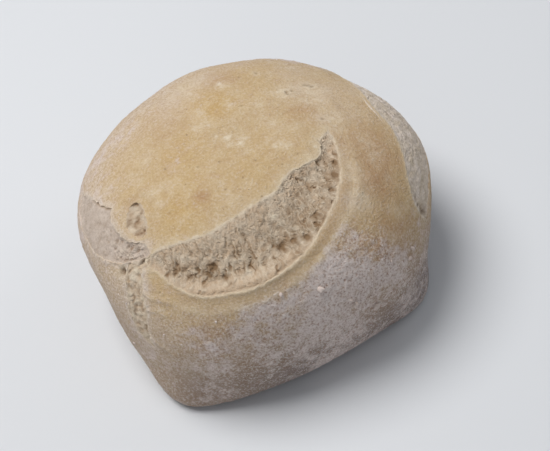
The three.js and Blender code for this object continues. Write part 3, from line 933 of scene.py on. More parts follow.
# Distance between the corners of the crumb's meshes
CRUMB_SPACING = {"front": 0.16, "patch": 0.22, "seam": 0.2, "side": 0.24, "blister": 0.15}
CRUMB_UNDER = 1.1  # how far the crumb goes on under the crust
UNDERSIDE_BELOW = 0.6  # how far its underside lies below the crust there
HELD_DOWN = 0.75  # how far it is pressed down under the crust
CELL_LENGTH = 40  # more than the sheet's seed, so bubbles vary over the sheet only

# The front tear's floor by share of its length: its depth, and how far it leans to the lower lip
FRONT_DEPTHS = [(0, 0.3), (0.12, 0.6), (0.3, 1), (0.5, 1), (0.66, 0.6), (1, 0.4)]
FRONT_LEAN = [(0.0, 1.6), (0.5, 1.5), (0.7, 1.0)]
SHELF_WIDTH = 1.5  # the crumb's pale ledge along the front rim

# The smoother crumb of the others: unevenness, depth in the middle, how evenly the bowl is hollowed
DRIED = {
    "patch": (0.45, 0.3, 0.7), "seam": (0.5, 0.1, 0.7), "side": (0.5, 0.5, 0.7),
    "blister": (0.4, 0.7, 1.3),
}


def tear_grid(tear, spacing, under):
    """A grid of directions from lip to lip that goes on under the crust, and where each place is."""
    _, along = even_ways(tear.controls[0], step=1.0)
    columns = int(along[-1] / spacing) + 1
    upper, run = even_ways(tear.controls[0], count=columns)
    lower, _ = even_ways(tear.controls[1], count=columns)
    up, low = place(upper, reach(upper)), place(lower, reach(lower))
    half = (low - up) / 2
    width = np.linalg.norm(half, axis=1)
    turned = half / np.maximum(width, 1e-6)[:, None]
    turned[:2] = turned[2]
    turned[-2:] = turned[-3]
    rows = int(2 * (width.max() + under) / spacing) + 1
    t = np.linspace(-1, 1, rows)
    off = t[None] * (width + under)[:, None]
    points = ((up + low) / 2)[:, None] + turned[:, None] * off[..., None]
    return unit(points - HEART), run[:, None] + 0 * off, off + width[:, None], width[:, None] - off


def slab(top, radius_in):
    """A closed slab: a grid of points on top, and a plain underside at a distance from the heart."""
    columns, rows, _ = top.shape
    index = np.arange(columns * rows).reshape(columns, rows)
    a, b, c, d = index[:-1, :-1], index[1:, :-1], index[1:, 1:], index[:-1, 1:]
    faces = [np.stack([a, b, c], -1).reshape(-1, 3), np.stack([a, c, d], -1).reshape(-1, 3)]
    rims = [top[:, 0], top[:, -1]]
    below = [HEART + unit(rim - HEART) * radius_in[:, None] for rim in rims]
    first = columns * rows + np.arange(columns)
    last = first + columns
    for upper, lower in ((index[:, 0], first), (last, index[:, -1]), (first, last)):
        faces.append(np.stack([upper[:-1], lower[:-1], upper[1:]], -1))
        faces.append(np.stack([upper[1:], lower[:-1], lower[1:]], -1))
    ends = ((index[0], first[0], last[0], 1), (index[-1], first[-1], last[-1], -1))
    for column, corner, other, turn in ends:
        fan = np.stack([column[:-1], column[1:], np.full(rows - 1, corner)], -1)
        faces += [fan[:, ::turn], np.array([[column[-1], other, corner]])[:, ::turn]]
    points = np.concatenate([top.reshape(-1, 3)] + below)
    return points, outward(points, np.concatenate(faces))


class Opening:
    """The sheet of crumb in one tear: a grid from lip to lip, and where each place of it is."""

    def __init__(self, tear, spacing):
        self.tear, self.name = tear, tear.name
        grid = tear_grid(tear, spacing, CRUMB_UNDER)
        self.ways, self.along, self.from_upper, self.from_lower = grid
        self.radius = reach(self.ways)
        width = np.maximum(self.from_upper + self.from_lower, 0.01)
        self.across = np.clip(self.from_upper / width, 0, 1)
        self.opened = smooth(width, 0.5, 7.0)
        self.share = self.along / self.along.max()
        self.sheet = np.stack([self.along, self.from_upper, 0 * self.along + tear.seed], -1)
        clear = smooth(self.from_upper, 0.0, 0.9) * smooth(self.from_lower, 0.0, 0.7)
        self.settled = lerp(0.2, 1.0, clear)
        skin = HEART + self.ways * self.radius[..., None]
        swirl = [noise(skin, 0.9, seed) + 0.6 * noise(skin, 2.2, seed) for seed in (72, 73, 74)]
        self.bent_skin = (skin + 0.5 * np.stack(swirl, -1)).reshape(-1, 3)

    def at(self, lon, lat, width):
        """A soft rise of 1 at one place on the sheet, of an uneven outline."""
        return at_spot(self.bent_skin, lon, lat, width).reshape(self.across.shape)

    def none(self):
        """Zero all over the sheet."""
        return np.zeros_like(self.across)


def front_floor(crumb, sizes):
    """The front tear's floor: depth, openness, brown, pale, the upper fringe, the lower ledge."""
    sheet, share, across = crumb.sheet, crumb.share, crumb.across
    strand, rise = sizes.strand_width / MM, sizes.strand_rise / MM
    deepest = sizes.front_depth / MM * read_off(share, FRONT_DEPTHS)
    floor = deepest * np.sin(np.pi * across ** read_off(share, FRONT_LEAN)) ** 0.8
    shelf = lerp(SHELF_WIDTH, 0.0, smooth(share, 0.46, 0.62)) * smooth(share, 0.12, 0.25)
    shelf = shelf * (1 + 0.6 * noise(sheet, (2.6, 2.6, 1), 31))
    ledge = smooth(crumb.from_lower, shelf + 1.7, shelf - 0.5) * smooth(share, 0.64, 0.5)
    climb = 0.2 + 0.2 * noise(sheet, (1.3, 1.3, 1), 32)
    floor = lerp(floor, climb * smooth(crumb.from_lower, 0.0, 0.6), ledge)
    uneven = 0.7 * noise(sheet, (2.2 * strand, 3.6 * strand, 1), 33)
    uneven = uneven + 0.55 * noise(sheet, (0.7 * strand, 2.2 * strand, 1), 34)
    depth = sizes.upper_step / MM + floor * crumb.opened + rise * uneven * crumb.settled
    openness = lerp(0.6, 1.0, np.maximum(smooth(across, 0.2, 0.8), smooth(share, 0.4, 0.65)))
    fringe = smooth(crumb.from_upper, 1.7, 0.7) * smooth(noise(sheet, (4, 4, 1), 46), -0.3, 0.3)
    shaded = smooth(share, 0.36, 0.6) * lerp(0.1, 1, smooth(crumb.from_upper, 1.5, 7))
    # Toward the tear's far end and away from its upper lip the crumb is painted darker: painted shade; the
    # listed places below add the crumb's own browner patches.
    brown = 0.3 * shaded * crumb.settled - 0.1 * smooth(crumb.from_upper, 4, 0.5) - 0.1 * ledge
    brown = brown + sum(strength * crumb.at(lon, lat, size) for lon, lat, size, strength in BROWNER)
    return depth, openness, brown, crumb.none(), fringe, ledge


def dried_floor(crumb, sizes):
    """A smoother, dried floor, with the same six values as the front one."""
    sheet, share, across, settled = crumb.sheet, crumb.share, crumb.across, crumb.settled
    unevenness, middle, bowl = DRIED[crumb.name]
    hollow = np.sin(np.pi * across)
    depth = sizes.upper_step / MM + middle * hollow ** bowl * lerp(0.7, 1, crumb.opened)
    uneven = 0.34 * noise(sheet, (2.2, 2.6, 1), 36) + 0.26 * noise(sheet, (0.9, 1.1, 1), 37)
    depth += unevenness * settled * (uneven + 0.14 * noise(sheet, (0.45, 0.45, 1), 38))
    openness = 0.5 * unevenness + 0 * across
    brown, pale = crumb.none(), crumb.none()
    if crumb.name == "patch":
        knot = smooth(share, 0.5, 0.85) * smooth(crumb.from_upper, -1.5, 1.5)
        lumps = 0.4 * noise(sheet, (1.7, 1.7, 1), 39) + 0.3 * noise(sheet, (0.8, 0.8, 1), 40)
        depth += knot * settled * lumps
        openness = lerp(openness, 0.9, knot)
        crease = smooth(crumb.from_upper, 1.0, 0.2) * smooth(share, 0.2, 0.34) * smooth(share, 0.58, 0.5)
        depth += 0.4 * crease
        # Along the crease under the upper lip the crumb lies lower and is painted darker: painted shadow
        # under the lip.
        brown = 0.6 * crease
    if crumb.name == "seam":
        lumps = noise(sheet, (2.0, 1.6, 1), 41) + 0.6 * noise(sheet, (0.9, 1.0, 1), 42)
        depth += settled * 0.32 * lumps
        # Where the seam's crumb lies deeper it is painted browner, as painted shade, and where it rises it
        # is paler.
        brown = 0.5 * smooth(lumps, 0.1, 0.6) * settled
        pale = 0.5 * smooth(lumps, -0.05, -0.6)
    if crumb.name == "blister":
        # The blister's crumb is painted browner toward the middle of its bowl, where it lies deepest:
        # painted shade.
        brown = 0.22 * hollow
    return depth, openness, brown, pale, crumb.none(), crumb.none()


def drawn_foam(crumb, bent, strand, openness, ledge):
    """Small cells with thin walls, drawn out from lip to lip: their rise, fibres and streaks."""
    foam = 0.0
    for size, deep, seed in ((0.85 * strand, 0.24, 51), (0.45 * strand, 0.18, 56)):
        _, wall, drawn = bubbles(bent, (size, 1.7 * size, CELL_LENGTH), seed)
        foam = foam + deep * smooth(wall, 0.0, 0.45) * lerp(0.15, 1.0, drawn ** 1.5)
    fibre = smooth(np.abs(noise(bent, (0.9 * strand, 3.8 * strand, 1), 71)), 0.14, 0.0) * openness
    drawn_out = (crumb.name == "front") * smooth(crumb.share, 0.62, 0.3) * (1 - ledge)
    drawn_out = drawn_out * smooth(crumb.from_lower, 1.0, 4.0)
    streak = noise(bent, (0.55 * strand, 3.2 * strand, 1), 84) * drawn_out * crumb.settled
    foam = foam * (1 - 0.35 * ledge) * lerp(0.45, 1.0, openness) * (1 - 0.6 * fibre) - 0.1 * fibre
    return foam, fibre, streak


def open_pores(crumb, bent, sizes, openness, fringe):
    """The larger open pores and folds: their depth, their darkening, brown in part and painted shade in
    part, and pale spots.
    """
    width, depth = sizes.pore_width / MM, sizes.pore_depth / MM
    near, _, drawn = bubbles(bent, (width, 1.4 * width, CELL_LENGTH), 61)
    big = smooth(near, 0.42, 0.12) * (drawn < 0.22 * openness) * lerp(0.5, 1.0, drawn / 0.22)
    near, _, drawn = bubbles(bent, (0.75 * width, 0.95 * width, CELL_LENGTH), 66)
    row = smooth(near, 0.48, 0.15) * (drawn < 0.7) * fringe
    pore = np.maximum(big * 0.4 * depth * openness, row * 0.22 * depth)
    pore_brown_and_shade = np.maximum(big * openness, 0.5 * row)
    for lon, lat, size, deep in PORES.get(crumb.name, []):
        hole = crumb.at(lon, lat, size)
        pore = np.maximum(pore, PORE_SHARE * deep * hole)
        # A listed pore is painted darker the greater its depth: painted shade.
        pore_brown_and_shade = np.maximum(pore_brown_and_shade, min(1.0, 0.3 + 0.7 * deep) * hole)
    for controls, wide, deep in FOLDS if crumb.name == "blister" else []:
        fold = along_path(crumb.bent_skin, controls, wide).reshape(crumb.across.shape)
        pore = np.maximum(pore, FOLD_SHARE * deep * fold)
        pore_brown_and_shade = np.maximum(pore_brown_and_shade, 0.75 * fold)
    spotted = crumb.none()
    for lon, lat, size, strength in PALE_SPOTS.get(crumb.name, []):
        spotted = np.maximum(spotted, strength * crumb.at(lon, lat, size))
    return pore * (1 - spotted), pore_brown_and_shade * (1 - spotted), spotted


def crumb_mesh(tear, sizes, spacing):
    """Points, faces and finish of the crumb in one tear."""
    crumb = Opening(tear, spacing)
    sheet, upper, lower = crumb.sheet, crumb.from_upper, crumb.from_lower
    find_floor = front_floor if crumb.name == "front" else dried_floor
    depth, openness, brown, pale, fringe, ledge = find_floor(crumb, sizes)
    warp = [0.7 * noise(sheet, (1.3, 1.5, 1), seed) + 0.3 * noise(sheet, (0.6, 0.7, 1), seed + 40)
            for seed in (48, 49)]
    bent = sheet + np.stack(warp + [crumb.none()], -1)
    foam, fibre, streak = drawn_foam(crumb, bent, sizes.strand_width / MM, openness, ledge)
    pore, pore_brown_and_shade, spotted = open_pores(crumb, bent, sizes, openness, fringe)
    foam = foam * (1 - spotted)

    # Near the lips the crumb closes up, and under the crust it is held down
    held = smooth(upper, -0.9, -0.4) * smooth(lower, -0.6, -0.1)
    clear = smooth(upper, 0.15, 0.8) * smooth(lower, 0.0, 0.5)
    pore = pore * clear * lerp(0.6, 1.0, crumb.opened)
    pore_brown_and_shade = pore_brown_and_shade * (1.0 if crumb.name == "blister" else clear)
    least = lerp(HELD_DOWN, sizes.upper_step / MM, held)
    depth = np.maximum(depth - 0.24 * streak, least) + pore + foam * clear
    underside = crumb.radius.mean(axis=1) - tear.sink - UNDERSIDE_BELOW
    points, faces = slab(place(crumb.ways, crumb.radius - depth), underside)

    # The hollow value is the crumb's own mottling and browner patches, with painted shade in the foam's
    # cells, the streaks' grooves and the pores.
    blotch = 0.3 * noise(sheet, (2.4, 3.4, 1), 54) + 0.3 * noise(sheet, (1.0, 1.9, 1), 55)
    blotch = blotch * lerp(0.6, 1.0, openness) + smooth(streak, 0.0, -0.5) * 0.5 + brown
    hollow = 0.8 * pore_brown_and_shade + 0.75 * np.maximum(foam, 0) * openness + blotch - 0.15 * fibre
    hollow = np.clip(hollow * (1 - spotted), 0, 0.85)
    brink = np.clip(0.6 + 0.6 * noise(sheet, (1.1, 1.1, 1), 57), 0, 1)
    lip = tear.pale[0] * smooth(upper, 0.75, 0.15) + tear.pale[1] * smooth(lower, 0.55, 0.1)
    lip = np.maximum(lip * brink, 0.3 * fibre * smooth(pore, 0.3, 0.0))
    lip = np.maximum(np.maximum(lip, spotted), pale)
    # deep darkens the crumb the deeper it lies: painted shade.
    finish = {"hollow": hollow, "ledge": ledge, "lip": lip, "deep": smooth(depth, 1.0, 5.0)}
    plain = np.zeros(len(points) - hollow.size)
    return points, faces, {key: np.concatenate([part.ravel(), plain]) for key, part in finish.items()}


SHARP_LIPS = 58  # degrees above which an edge of the crust is drawn sharp


def make_piece(name, points, faces, finish, material, sharp=None):
    """A mesh object in the frame's metres, with its finish as named values on its corners."""
    mesh = bpy.data.meshes.new(name)
    mesh.from_pydata((points * MM).tolist(), [], faces.tolist())
    for key, values in finish.items():
        layer = mesh.attributes.new(key, "FLOAT", "POINT")
        layer.data.foreach_set("value", np.clip(values, 0, 1).astype(np.float32))
    mesh.shade_smooth()
    if sharp:
        mesh.set_sharp_from_angle(angle=np.radians(sharp))
    mesh.materials.append(material)
    piece = bpy.data.objects.new(name, mesh)
    bpy.context.scene.collection.objects.link(piece)
    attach(piece, BODY)
    return piece


def add(tree, kind, settings=None, **inputs):
    """A node with its settings, and its inputs set or linked; underscores stand for spaces."""
    made = tree.nodes.new(kind)
    for key, value in (settings or {}).items():
        setattr(made, key, value)
    for key, value in inputs.items():
        sockets = {s.identifier: s for s in reversed(made.inputs)}
        socket = sockets.get(key) or made.inputs[key.replace("_", " ")]
        if isinstance(value, bpy.types.NodeSocket):
            tree.links.new(value, socket)
        else:
            socket.default_value = value
    return made


def opaque(colour):
    """A colour property with an alpha of one."""
    return (*colour, 1.0)


def per(size_mm):
    """A pattern's scale for lumps of a size in millimetres on Object coordinates."""
    return 1.0 / (size_mm * MM)


def start_material(name):
    """An empty material: its node tree and its place on the roll."""
    material = bpy.data.materials.new(name)
    material.use_nodes = True
    tree = material.node_tree
    tree.nodes.clear()
    spot = add(tree, "ShaderNodeTexCoord").outputs["Object"]
    return material, tree, spot


def finish_material(tree, colour, height, rise_mm, roughness, specular):
    """Ends a matte material in its shader, with a fine relief of a rise in millimetres."""
    relief = add(tree, "ShaderNodeBump", Strength=1.0, Distance=rise_mm * MM, Height=height)
    shader = add(tree, "ShaderNodeBsdfPrincipled", Base_Color=colour, Roughness=roughness,
                 Normal=relief.outputs["Normal"])
    shader.inputs["Specular IOR Level"].default_value = specular
    add(tree, "ShaderNodeOutputMaterial", Surface=shader.outputs["BSDF"])


def crust_material(colours):
    """Baked crust dusted with flour before baking: dull, tan, with paler drifts of flour dust."""
    material, tree, spot = start_material("baked_crust_floured")
    value = {key: add(tree, "ShaderNodeAttribute", {"attribute_name": key}).outputs["Fac"]
             for key in ("flour", "haze", "dull", "bake", "yellow", "lip", "dark")}
    pattern = {}
    for key, size_mm, rough in (("broad", 13, 0.55), ("cloudy", 4.5, 0.6), ("middle", 2.6, 0.6),
                                ("grain", 0.62, 0.7)):
        pattern[key] = add(tree, "ShaderNodeTexNoise", Vector=spot, Scale=per(size_mm), Detail=3.0,
                           Roughness=rough).outputs["Fac"]
    bran = add(tree, "ShaderNodeTexVoronoi", Vector=spot, Scale=per(2.1))

    # Skin that is yellower or browner in soft patches, and paler in others
    patches = add(tree, "ShaderNodeMapRange", Value=pattern["broad"], From_Min=0.4, From_Max=0.75,
                  To_Max=0.5)
    yellower = add(tree, "ShaderNodeMath", {"operation": "MULTIPLY_ADD", "use_clamp": True},
                   Value=value["yellow"], Value_001=0.9, Value_002=patches.outputs["Result"])
    uneven = add(tree, "ShaderNodeMapRange", Value=pattern["middle"], From_Min=0.3, From_Max=0.7,
                 To_Min=-0.1, To_Max=0.22)
    browner = add(tree, "ShaderNodeMath", {"operation": "MULTIPLY_ADD", "use_clamp": True},
                  Value=value["bake"], Value_001=0.9, Value_002=uneven.outputs["Result"])
    paler = add(tree, "ShaderNodeMapRange", Value=pattern["cloudy"], From_Min=0.5, From_Max=0.3,
                To_Max=0.22)

    # Flour lies as a soft uneven veil, with pale grains on it and bare skin between them
    cloud = add(tree, "ShaderNodeMath", {"operation": "ADD"}, Value=pattern["broad"],
                Value_001=pattern["middle"])
    lay = add(tree, "ShaderNodeMath", {"operation": "MULTIPLY_ADD"}, Value=cloud.outputs["Value"],
              Value_001=1.8, Value_002=value["flour"])
    veil = add(tree, "ShaderNodeMapRange", {"interpolation_type": "SMOOTHSTEP"},
               Value=lay.outputs["Value"], From_Min=2.1, From_Max=2.95, To_Max=0.88)
    held = add(tree, "ShaderNodeMapRange", Value=value["flour"], From_Max=0.7, To_Min=0.34)
    strewn = []
    for low, high, most, tint in ((0.5, 0.7, 0.85, colours.grains), (0.5, 0.3, 0.82, colours.bare)):
        share = add(tree, "ShaderNodeMapRange", Value=pattern["grain"], From_Min=low, From_Max=high,
                    To_Max=most)
        share = add(tree, "ShaderNodeMath", {"operation": "MULTIPLY"}, Value=share.outputs["Result"],
                    Value_001=held.outputs["Result"])
        strewn.append((share.outputs["Value"], tint))

    # Bran specks, only in some of the pattern's cells
    speck = add(tree, "ShaderNodeMapRange", Value=bran.outputs["Distance"], From_Min=0.085,
                From_Max=0.05, To_Max=0.6)
    few = add(tree, "ShaderNodeMapRange", Value=bran.outputs["Color"], From_Min=0.5, From_Max=0.6)
    speck = add(tree, "ShaderNodeMath", {"operation": "MULTIPLY"}, Value=speck.outputs["Result"],
                Value_001=few.outputs["Result"])
    # The dark value brings in the painted shade of the pits beside the bran specks.
    dark = add(tree, "ShaderNodeMath", {"operation": "MAXIMUM", "use_clamp": True},
               Value=speck.outputs["Value"], Value_001=value["dark"])

    colour = opaque(colours.tan)
    layers = [(yellower.outputs["Value"], colours.yellow), (browner.outputs["Value"], colours.brown),
              (paler.outputs["Result"], colours.rim), (value["dull"], colours.dull),
              (value["haze"], colours.film), (veil.outputs["Result"], colours.flour), *strewn,
              (value["lip"], colours.rim), (dark.outputs["Value"], colours.speck)]
    for share, tint in layers:
        colour = add(tree, "ShaderNodeMix", {"data_type": "RGBA"}, Factor_Float=share, A_Color=colour,
                     B_Color=opaque(tint)).outputs["Result"]
    finish_material(tree, colour, pattern["grain"], rise_mm=0.34, roughness=0.88, specular=0.22)
    return material


def crumb_material(name, colours, main, paler, most=1.0):
    """Torn crumb that dried in the oven: dull, grey beige, brown with painted shade down in its open pores
    and where it lies deep.
    """
    material, tree, spot = start_material(name)
    value = {key: add(tree, "ShaderNodeAttribute", {"attribute_name": key}).outputs["Fac"]
             for key in ("hollow", "ledge", "deep", "lip")}
    middle = add(tree, "ShaderNodeTexNoise", Vector=spot, Scale=per(2.4), Detail=4.0, Roughness=0.6)
    grain = add(tree, "ShaderNodeTexNoise", Vector=spot, Scale=per(0.5), Detail=3.0, Roughness=0.65)
    share = add(tree, "ShaderNodeMapRange", Value=middle.outputs["Fac"], From_Min=0.35, From_Max=0.68,
                To_Max=most)
    lighter = add(tree, "ShaderNodeMath", {"operation": "MAXIMUM"}, Value=share.outputs["Result"],
                  Value_001=value["ledge"])
    fine = add(tree, "ShaderNodeMapRange", Value=grain.outputs["Fac"], From_Min=0.52, From_Max=0.35,
               To_Max=0.24)
    dark = add(tree, "ShaderNodeMath", {"operation": "MAXIMUM"}, Value=fine.outputs["Result"],
               Value_001=value["hollow"])
    deeper = add(tree, "ShaderNodeMath", {"operation": "MULTIPLY_ADD", "use_clamp": True},
                 Value=value["deep"], Value_001=0.12, Value_002=dark.outputs["Value"])
    colour = opaque(main)
    layers = [(lighter.outputs["Value"], paler), (deeper.outputs["Value"], colours.hollow),
              (value["lip"], colours.rim)]
    for share, tint in layers:
        colour = add(tree, "ShaderNodeMix", {"data_type": "RGBA"}, Factor_Float=share, A_Color=colour,
                     B_Color=opaque(tint)).outputs["Result"]
    finish_material(tree, colour, grain.outputs["Fac"], rise_mm=0.2, roughness=0.92, specular=0.18)
    return material


def flour_material(colours, name, tint):
    """Dry lumps of flour or crumb: matte and pale, a little uneven in colour."""
    material, tree, spot = start_material(name)
    grain = add(tree, "ShaderNodeTexNoise", Vector=spot, Scale=per(0.8), Detail=2.0)
    colour = add(tree, "ShaderNodeMix", {"data_type": "RGBA"}, Factor_Float=grain.outputs["Fac"],
                 A_Color=opaque(colours.flour), B_Color=opaque(tint))
    finish_material(tree, colour.outputs["Result"], grain.outputs["Fac"], rise_mm=0.08, roughness=0.95,
                    specular=0.15)
    return material


# Crumbs stuck to the skin: longitude, latitude, half width in millimetres
CRUMBS = [
    (-84.3, 19.1, 0.95), (-97.8, 22.0, 0.55), (-73.9, 6.9, 0.75), (-66.8, 0.3, 0.95),
    (-75.3, 9.7, 0.55), (-68.2, 6.2, 0.5), (-46.8, 8.7, 0.6), (-49.6, 7.0, 0.6), (-57, 13, 0.4),
    (-110, 2, 0.4), (-151.6, -6.9, 0.4), (-146.1, -15.9, 0.35), (170, 2, 0.4), (70, 12, 0.7),
    (92, 3, 0.5), (118, -6, 0.6), (35, -2, 0.6), (8, -12, 0.5), (140, 4, 0.5),
]
WHITE_CRUMBS = [
    (-97.2, -3.2, 0.42), (-120, 16, 0.3), (-60, 16, 0.3), (-137, 8, 0.28), (-152, 12, 0.3),
    (-12, 2, 0.35), (20, 4, 0.3), (104, 14, 0.35), (165, 4, 0.3),
]
GRAIN_DENSITY = 0.16  # grains to a square millimetre where flour lies thick
LUMP_UNEVEN = 0.22
FULL_TURN = 6.28


def lump_tree(name, over_faces):
    """Geometry nodes that set an uneven lump on every point, or on points strewn over faces."""
    tree = bpy.data.node_groups.new(name, "GeometryNodeTree")
    tree.interface.new_socket("Geometry", in_out="INPUT", socket_type="NodeSocketGeometry")
    named = {}
    for label, kind in (("Density", "Float"), ("Half width", "Float"), ("Seed", "Int"),
                        ("Faces level", "Int"), ("Material", "Material")):
        socket = tree.interface.new_socket(label, in_out="INPUT", socket_type="NodeSocket" + kind)
        named[label] = socket.identifier
    tree.interface.new_socket("Geometry", in_out="OUTPUT", socket_type="NodeSocketGeometry")
    given = add(tree, "NodeGroupInput").outputs
    if over_faces:
        thick = add(tree, "GeometryNodeInputNamedAttribute", {"data_type": "FLOAT"}, Name="flour")
        share = add(tree, "ShaderNodeMapRange", Value=thick.outputs["Attribute"], From_Min=0.25,
                    From_Max=0.8)
        density = add(tree, "ShaderNodeMath", {"operation": "MULTIPLY"}, Value=share.outputs["Result"],
                      Value_001=given["Density"])
        spots = add(tree, "GeometryNodeDistributePointsOnFaces", Mesh=given["Geometry"],
                    Density=density.outputs["Value"], Seed=given["Seed"])
        size = add(tree, "FunctionNodeRandomValue", {"data_type": "FLOAT"}, Min_001=0.55, Max_001=1.25,
                   Seed=given["Seed"]).outputs["Value"]
    else:
        spots = add(tree, "GeometryNodeMeshToPoints", Mesh=given["Geometry"])
        size = add(tree, "GeometryNodeInputNamedAttribute", {"data_type": "FLOAT"},
                   Name="size").outputs["Attribute"]
    ball = add(tree, "GeometryNodeMeshIcoSphere", Radius=1.0, Subdivisions=given["Faces level"])
    place_on = add(tree, "GeometryNodeInputPosition")
    rough = add(tree, "ShaderNodeTexNoise", Vector=place_on.outputs["Position"], Scale=1.3, Detail=2.0)
    push = add(tree, "ShaderNodeMapRange", Value=rough.outputs["Fac"], From_Min=0.3, From_Max=0.7,
               To_Min=-LUMP_UNEVEN, To_Max=LUMP_UNEVEN)
    shift = add(tree, "ShaderNodeVectorMath", {"operation": "SCALE"}, Vector=place_on.outputs["Position"],
                Scale=push.outputs["Result"])
    lump = add(tree, "GeometryNodeSetPosition", Geometry=ball.outputs["Mesh"],
               Offset=shift.outputs["Vector"])
    turn = add(tree, "FunctionNodeRandomValue", {"data_type": "FLOAT_VECTOR"}, Max=(FULL_TURN,) * 3,
               Seed=given["Seed"])
    stretch = add(tree, "FunctionNodeRandomValue", {"data_type": "FLOAT_VECTOR"}, Min=(0.7, 0.7, 0.6),
                  Max=(1.2, 1.3, 1.0), Seed=given["Seed"])
    real = add(tree, "ShaderNodeMath", {"operation": "MULTIPLY"}, Value=size,
               Value_001=given["Half width"])
    grow = add(tree, "ShaderNodeVectorMath", {"operation": "SCALE"}, Vector=stretch.outputs["Value"],
               Scale=real.outputs["Value"])
    strewn = add(tree, "GeometryNodeInstanceOnPoints", Points=spots.outputs["Points"],
                 Instance=lump.outputs["Geometry"], Rotation=turn.outputs["Value"],
                 Scale=grow.outputs["Vector"])
    made = add(tree, "GeometryNodeRealizeInstances", Geometry=strewn.outputs["Instances"])
    coated = add(tree, "GeometryNodeSetMaterial", Geometry=made.outputs["Geometry"],
                 Material=given["Material"])
    add(tree, "NodeGroupOutput", Geometry=coated.outputs["Geometry"])
    return tree, named


def strew(name, carrier_mesh, over_faces, settings, material):
    """Strews lumps on a carrier mesh and leaves them as one plain piece."""
    tree, named = lump_tree(name + "_nodes", over_faces)
    carrier = bpy.data.objects.new(name, carrier_mesh)
    bpy.context.scene.collection.objects.link(carrier)
    modifier = carrier.modifiers.new("lumps", "NODES")
    modifier.node_group = tree
    for label, value in {**settings, "Material": material}.items():
        modifier[named[label]] = value
    graph = bpy.context.evaluated_depsgraph_get()
    mesh = bpy.data.meshes.new_from_object(carrier.evaluated_get(graph), depsgraph=graph)
    carrier.modifiers.clear()
    carrier.data = mesh
    mesh.shade_smooth()
    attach(carrier, BODY)


def crumb_spots(name, crumbs):
    """A mesh of bare points on the skin, each with the size of its crumb."""
    lon, lat, size = np.array(crumbs).T
    ways = direction(lon, lat)
    points = place(ways, reach(ways) + 0.2 * size)
    mesh = bpy.data.meshes.new(name)
    mesh.from_pydata((points * MM).tolist(), [], [])
    layer = mesh.attributes.new("size", "FLOAT", "POINT")
    layer.data.foreach_set("value", size.astype(np.float32))
    return mesh


class BREAD_OT_strewn(bpy.types.Operator):
    """Strews grains of flour and sticks loose crumbs on the crust"""

    bl_idname = "bread.strewn"
    bl_label = "Flour and loose crumbs"

    def execute(self, context):
        sizes, colours = context.scene.roll_sizes, context.scene.roll_colours
        crust = bpy.data.objects["bread_roll_crust"]
        flour = flour_material(colours, "dry_flour_lumps", colours.grains)
        dry = flour_material(colours, "dry_loose_crumbs", colours.skinned)
        strew("bread_roll_flour_grains", crust.data.copy(), True,
              {"Density": GRAIN_DENSITY / MM ** 2, "Half width": sizes.grain_size / 2, "Seed": 4,
               "Faces level": 1}, flour)
        strew("bread_roll_loose_crumbs", crumb_spots("crumb_spots", CRUMBS), False,
              {"Half width": MM, "Seed": 8, "Faces level": 3}, dry)
        strew("bread_roll_flour_crumbs", crumb_spots("flour_spots", WHITE_CRUMBS), False,
              {"Half width": MM, "Seed": 9, "Faces level": 3}, flour)
        return {"FINISHED"}


class BREAD_OT_crust(bpy.types.Operator):
    """Lays the floury crust over the roll's body and opens it at the tears"""

    bl_idname = "bread.crust"
    bl_label = "Crust"

    def execute(self, context):
        sizes, colours = context.scene.roll_sizes, context.scene.roll_colours
        points, faces, finish = crust_mesh(all_tears(), sizes)
        piece = make_piece("bread_roll_crust", points, faces, finish, crust_material(colours),
                           SHARP_LIPS)
        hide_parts(SOLID)
        return {"FINISHED"}


class BREAD_OT_crumb(bpy.types.Operator):
    """Lays the torn crumb in every tear and in the blister"""

    bl_idname = "bread.crumb"
    bl_label = "Crumb"

    def execute(self, context):
        sizes, colours = context.scene.roll_sizes, context.scene.roll_colours
        torn = crumb_material("torn_crumb_open", colours, colours.crumb, colours.ledge)
        dried = crumb_material("dried_crumb_smooth", colours, colours.skinned, colours.pale_crumb_and_painted_light, 0.4)
        # The right side tear's crumb is painted paler than the front's, where it faces away from the main
        # light: painted light.
        side_crumb_and_painted_light = crumb_material("dried_crumb_pale_and_painted_light", colours, colours.crumb, colours.pale_crumb_and_painted_light)
        materials = {"patch": dried, "side": side_crumb_and_painted_light}
        for tear in all_tears():
            points, faces, finish = crumb_mesh(tear, sizes, CRUMB_SPACING[tear.name])
            material = materials.get(tear.name, torn)
            make_piece("bread_roll_crumb_" + tear.name, points, faces, finish, material)
        return {"FINISHED"}


class BREAD_OT_stage(bpy.types.Operator):
    """Sets the floor, the soft lights and the camera"""

    bl_idname = "bread.stage"
    bl_label = "Studio"

    def execute(self, context):
        scene = context.scene
        colours = scene.roll_colours
        build_floor(colours)
        build_lights(scene)
        build_camera(scene)
        return {"FINISHED"}


# The camera's place, found from the roll's outline: it looks down at the roll from the front
CAMERA_AZIMUTH = -14.42
CAMERA_ELEVATION = 50.0
CAMERA_ROLL = 8.5
CAMERA_DISTANCE = 330.0
CAMERA_LENS = 79.36
CAMERA_AIM = (6.47, -4.62, 26.0)  # millimetres right of, above and over the heart's foot
CAMERA_SENSOR = 36.0
CAMERA_CLIP = 0.01
FLOOR_SIZE = 3.0

# The pale surrounding, in linear colour, and the soft lights: name, place, size, watts
SURROUNDING = (0.86, 0.92, 1.0)
SURROUNDING_STRENGTH = 0.24
LIGHTS = (
    ("key_light", (-0.24, 0.16, 0.75), 0.5, 5.35),
    ("fill_light", (-0.5, -0.7, 0.5), 0.8, 0.62),
    ("side_light", (0.62, 0.12, 0.36), 0.5, 0.6),
)


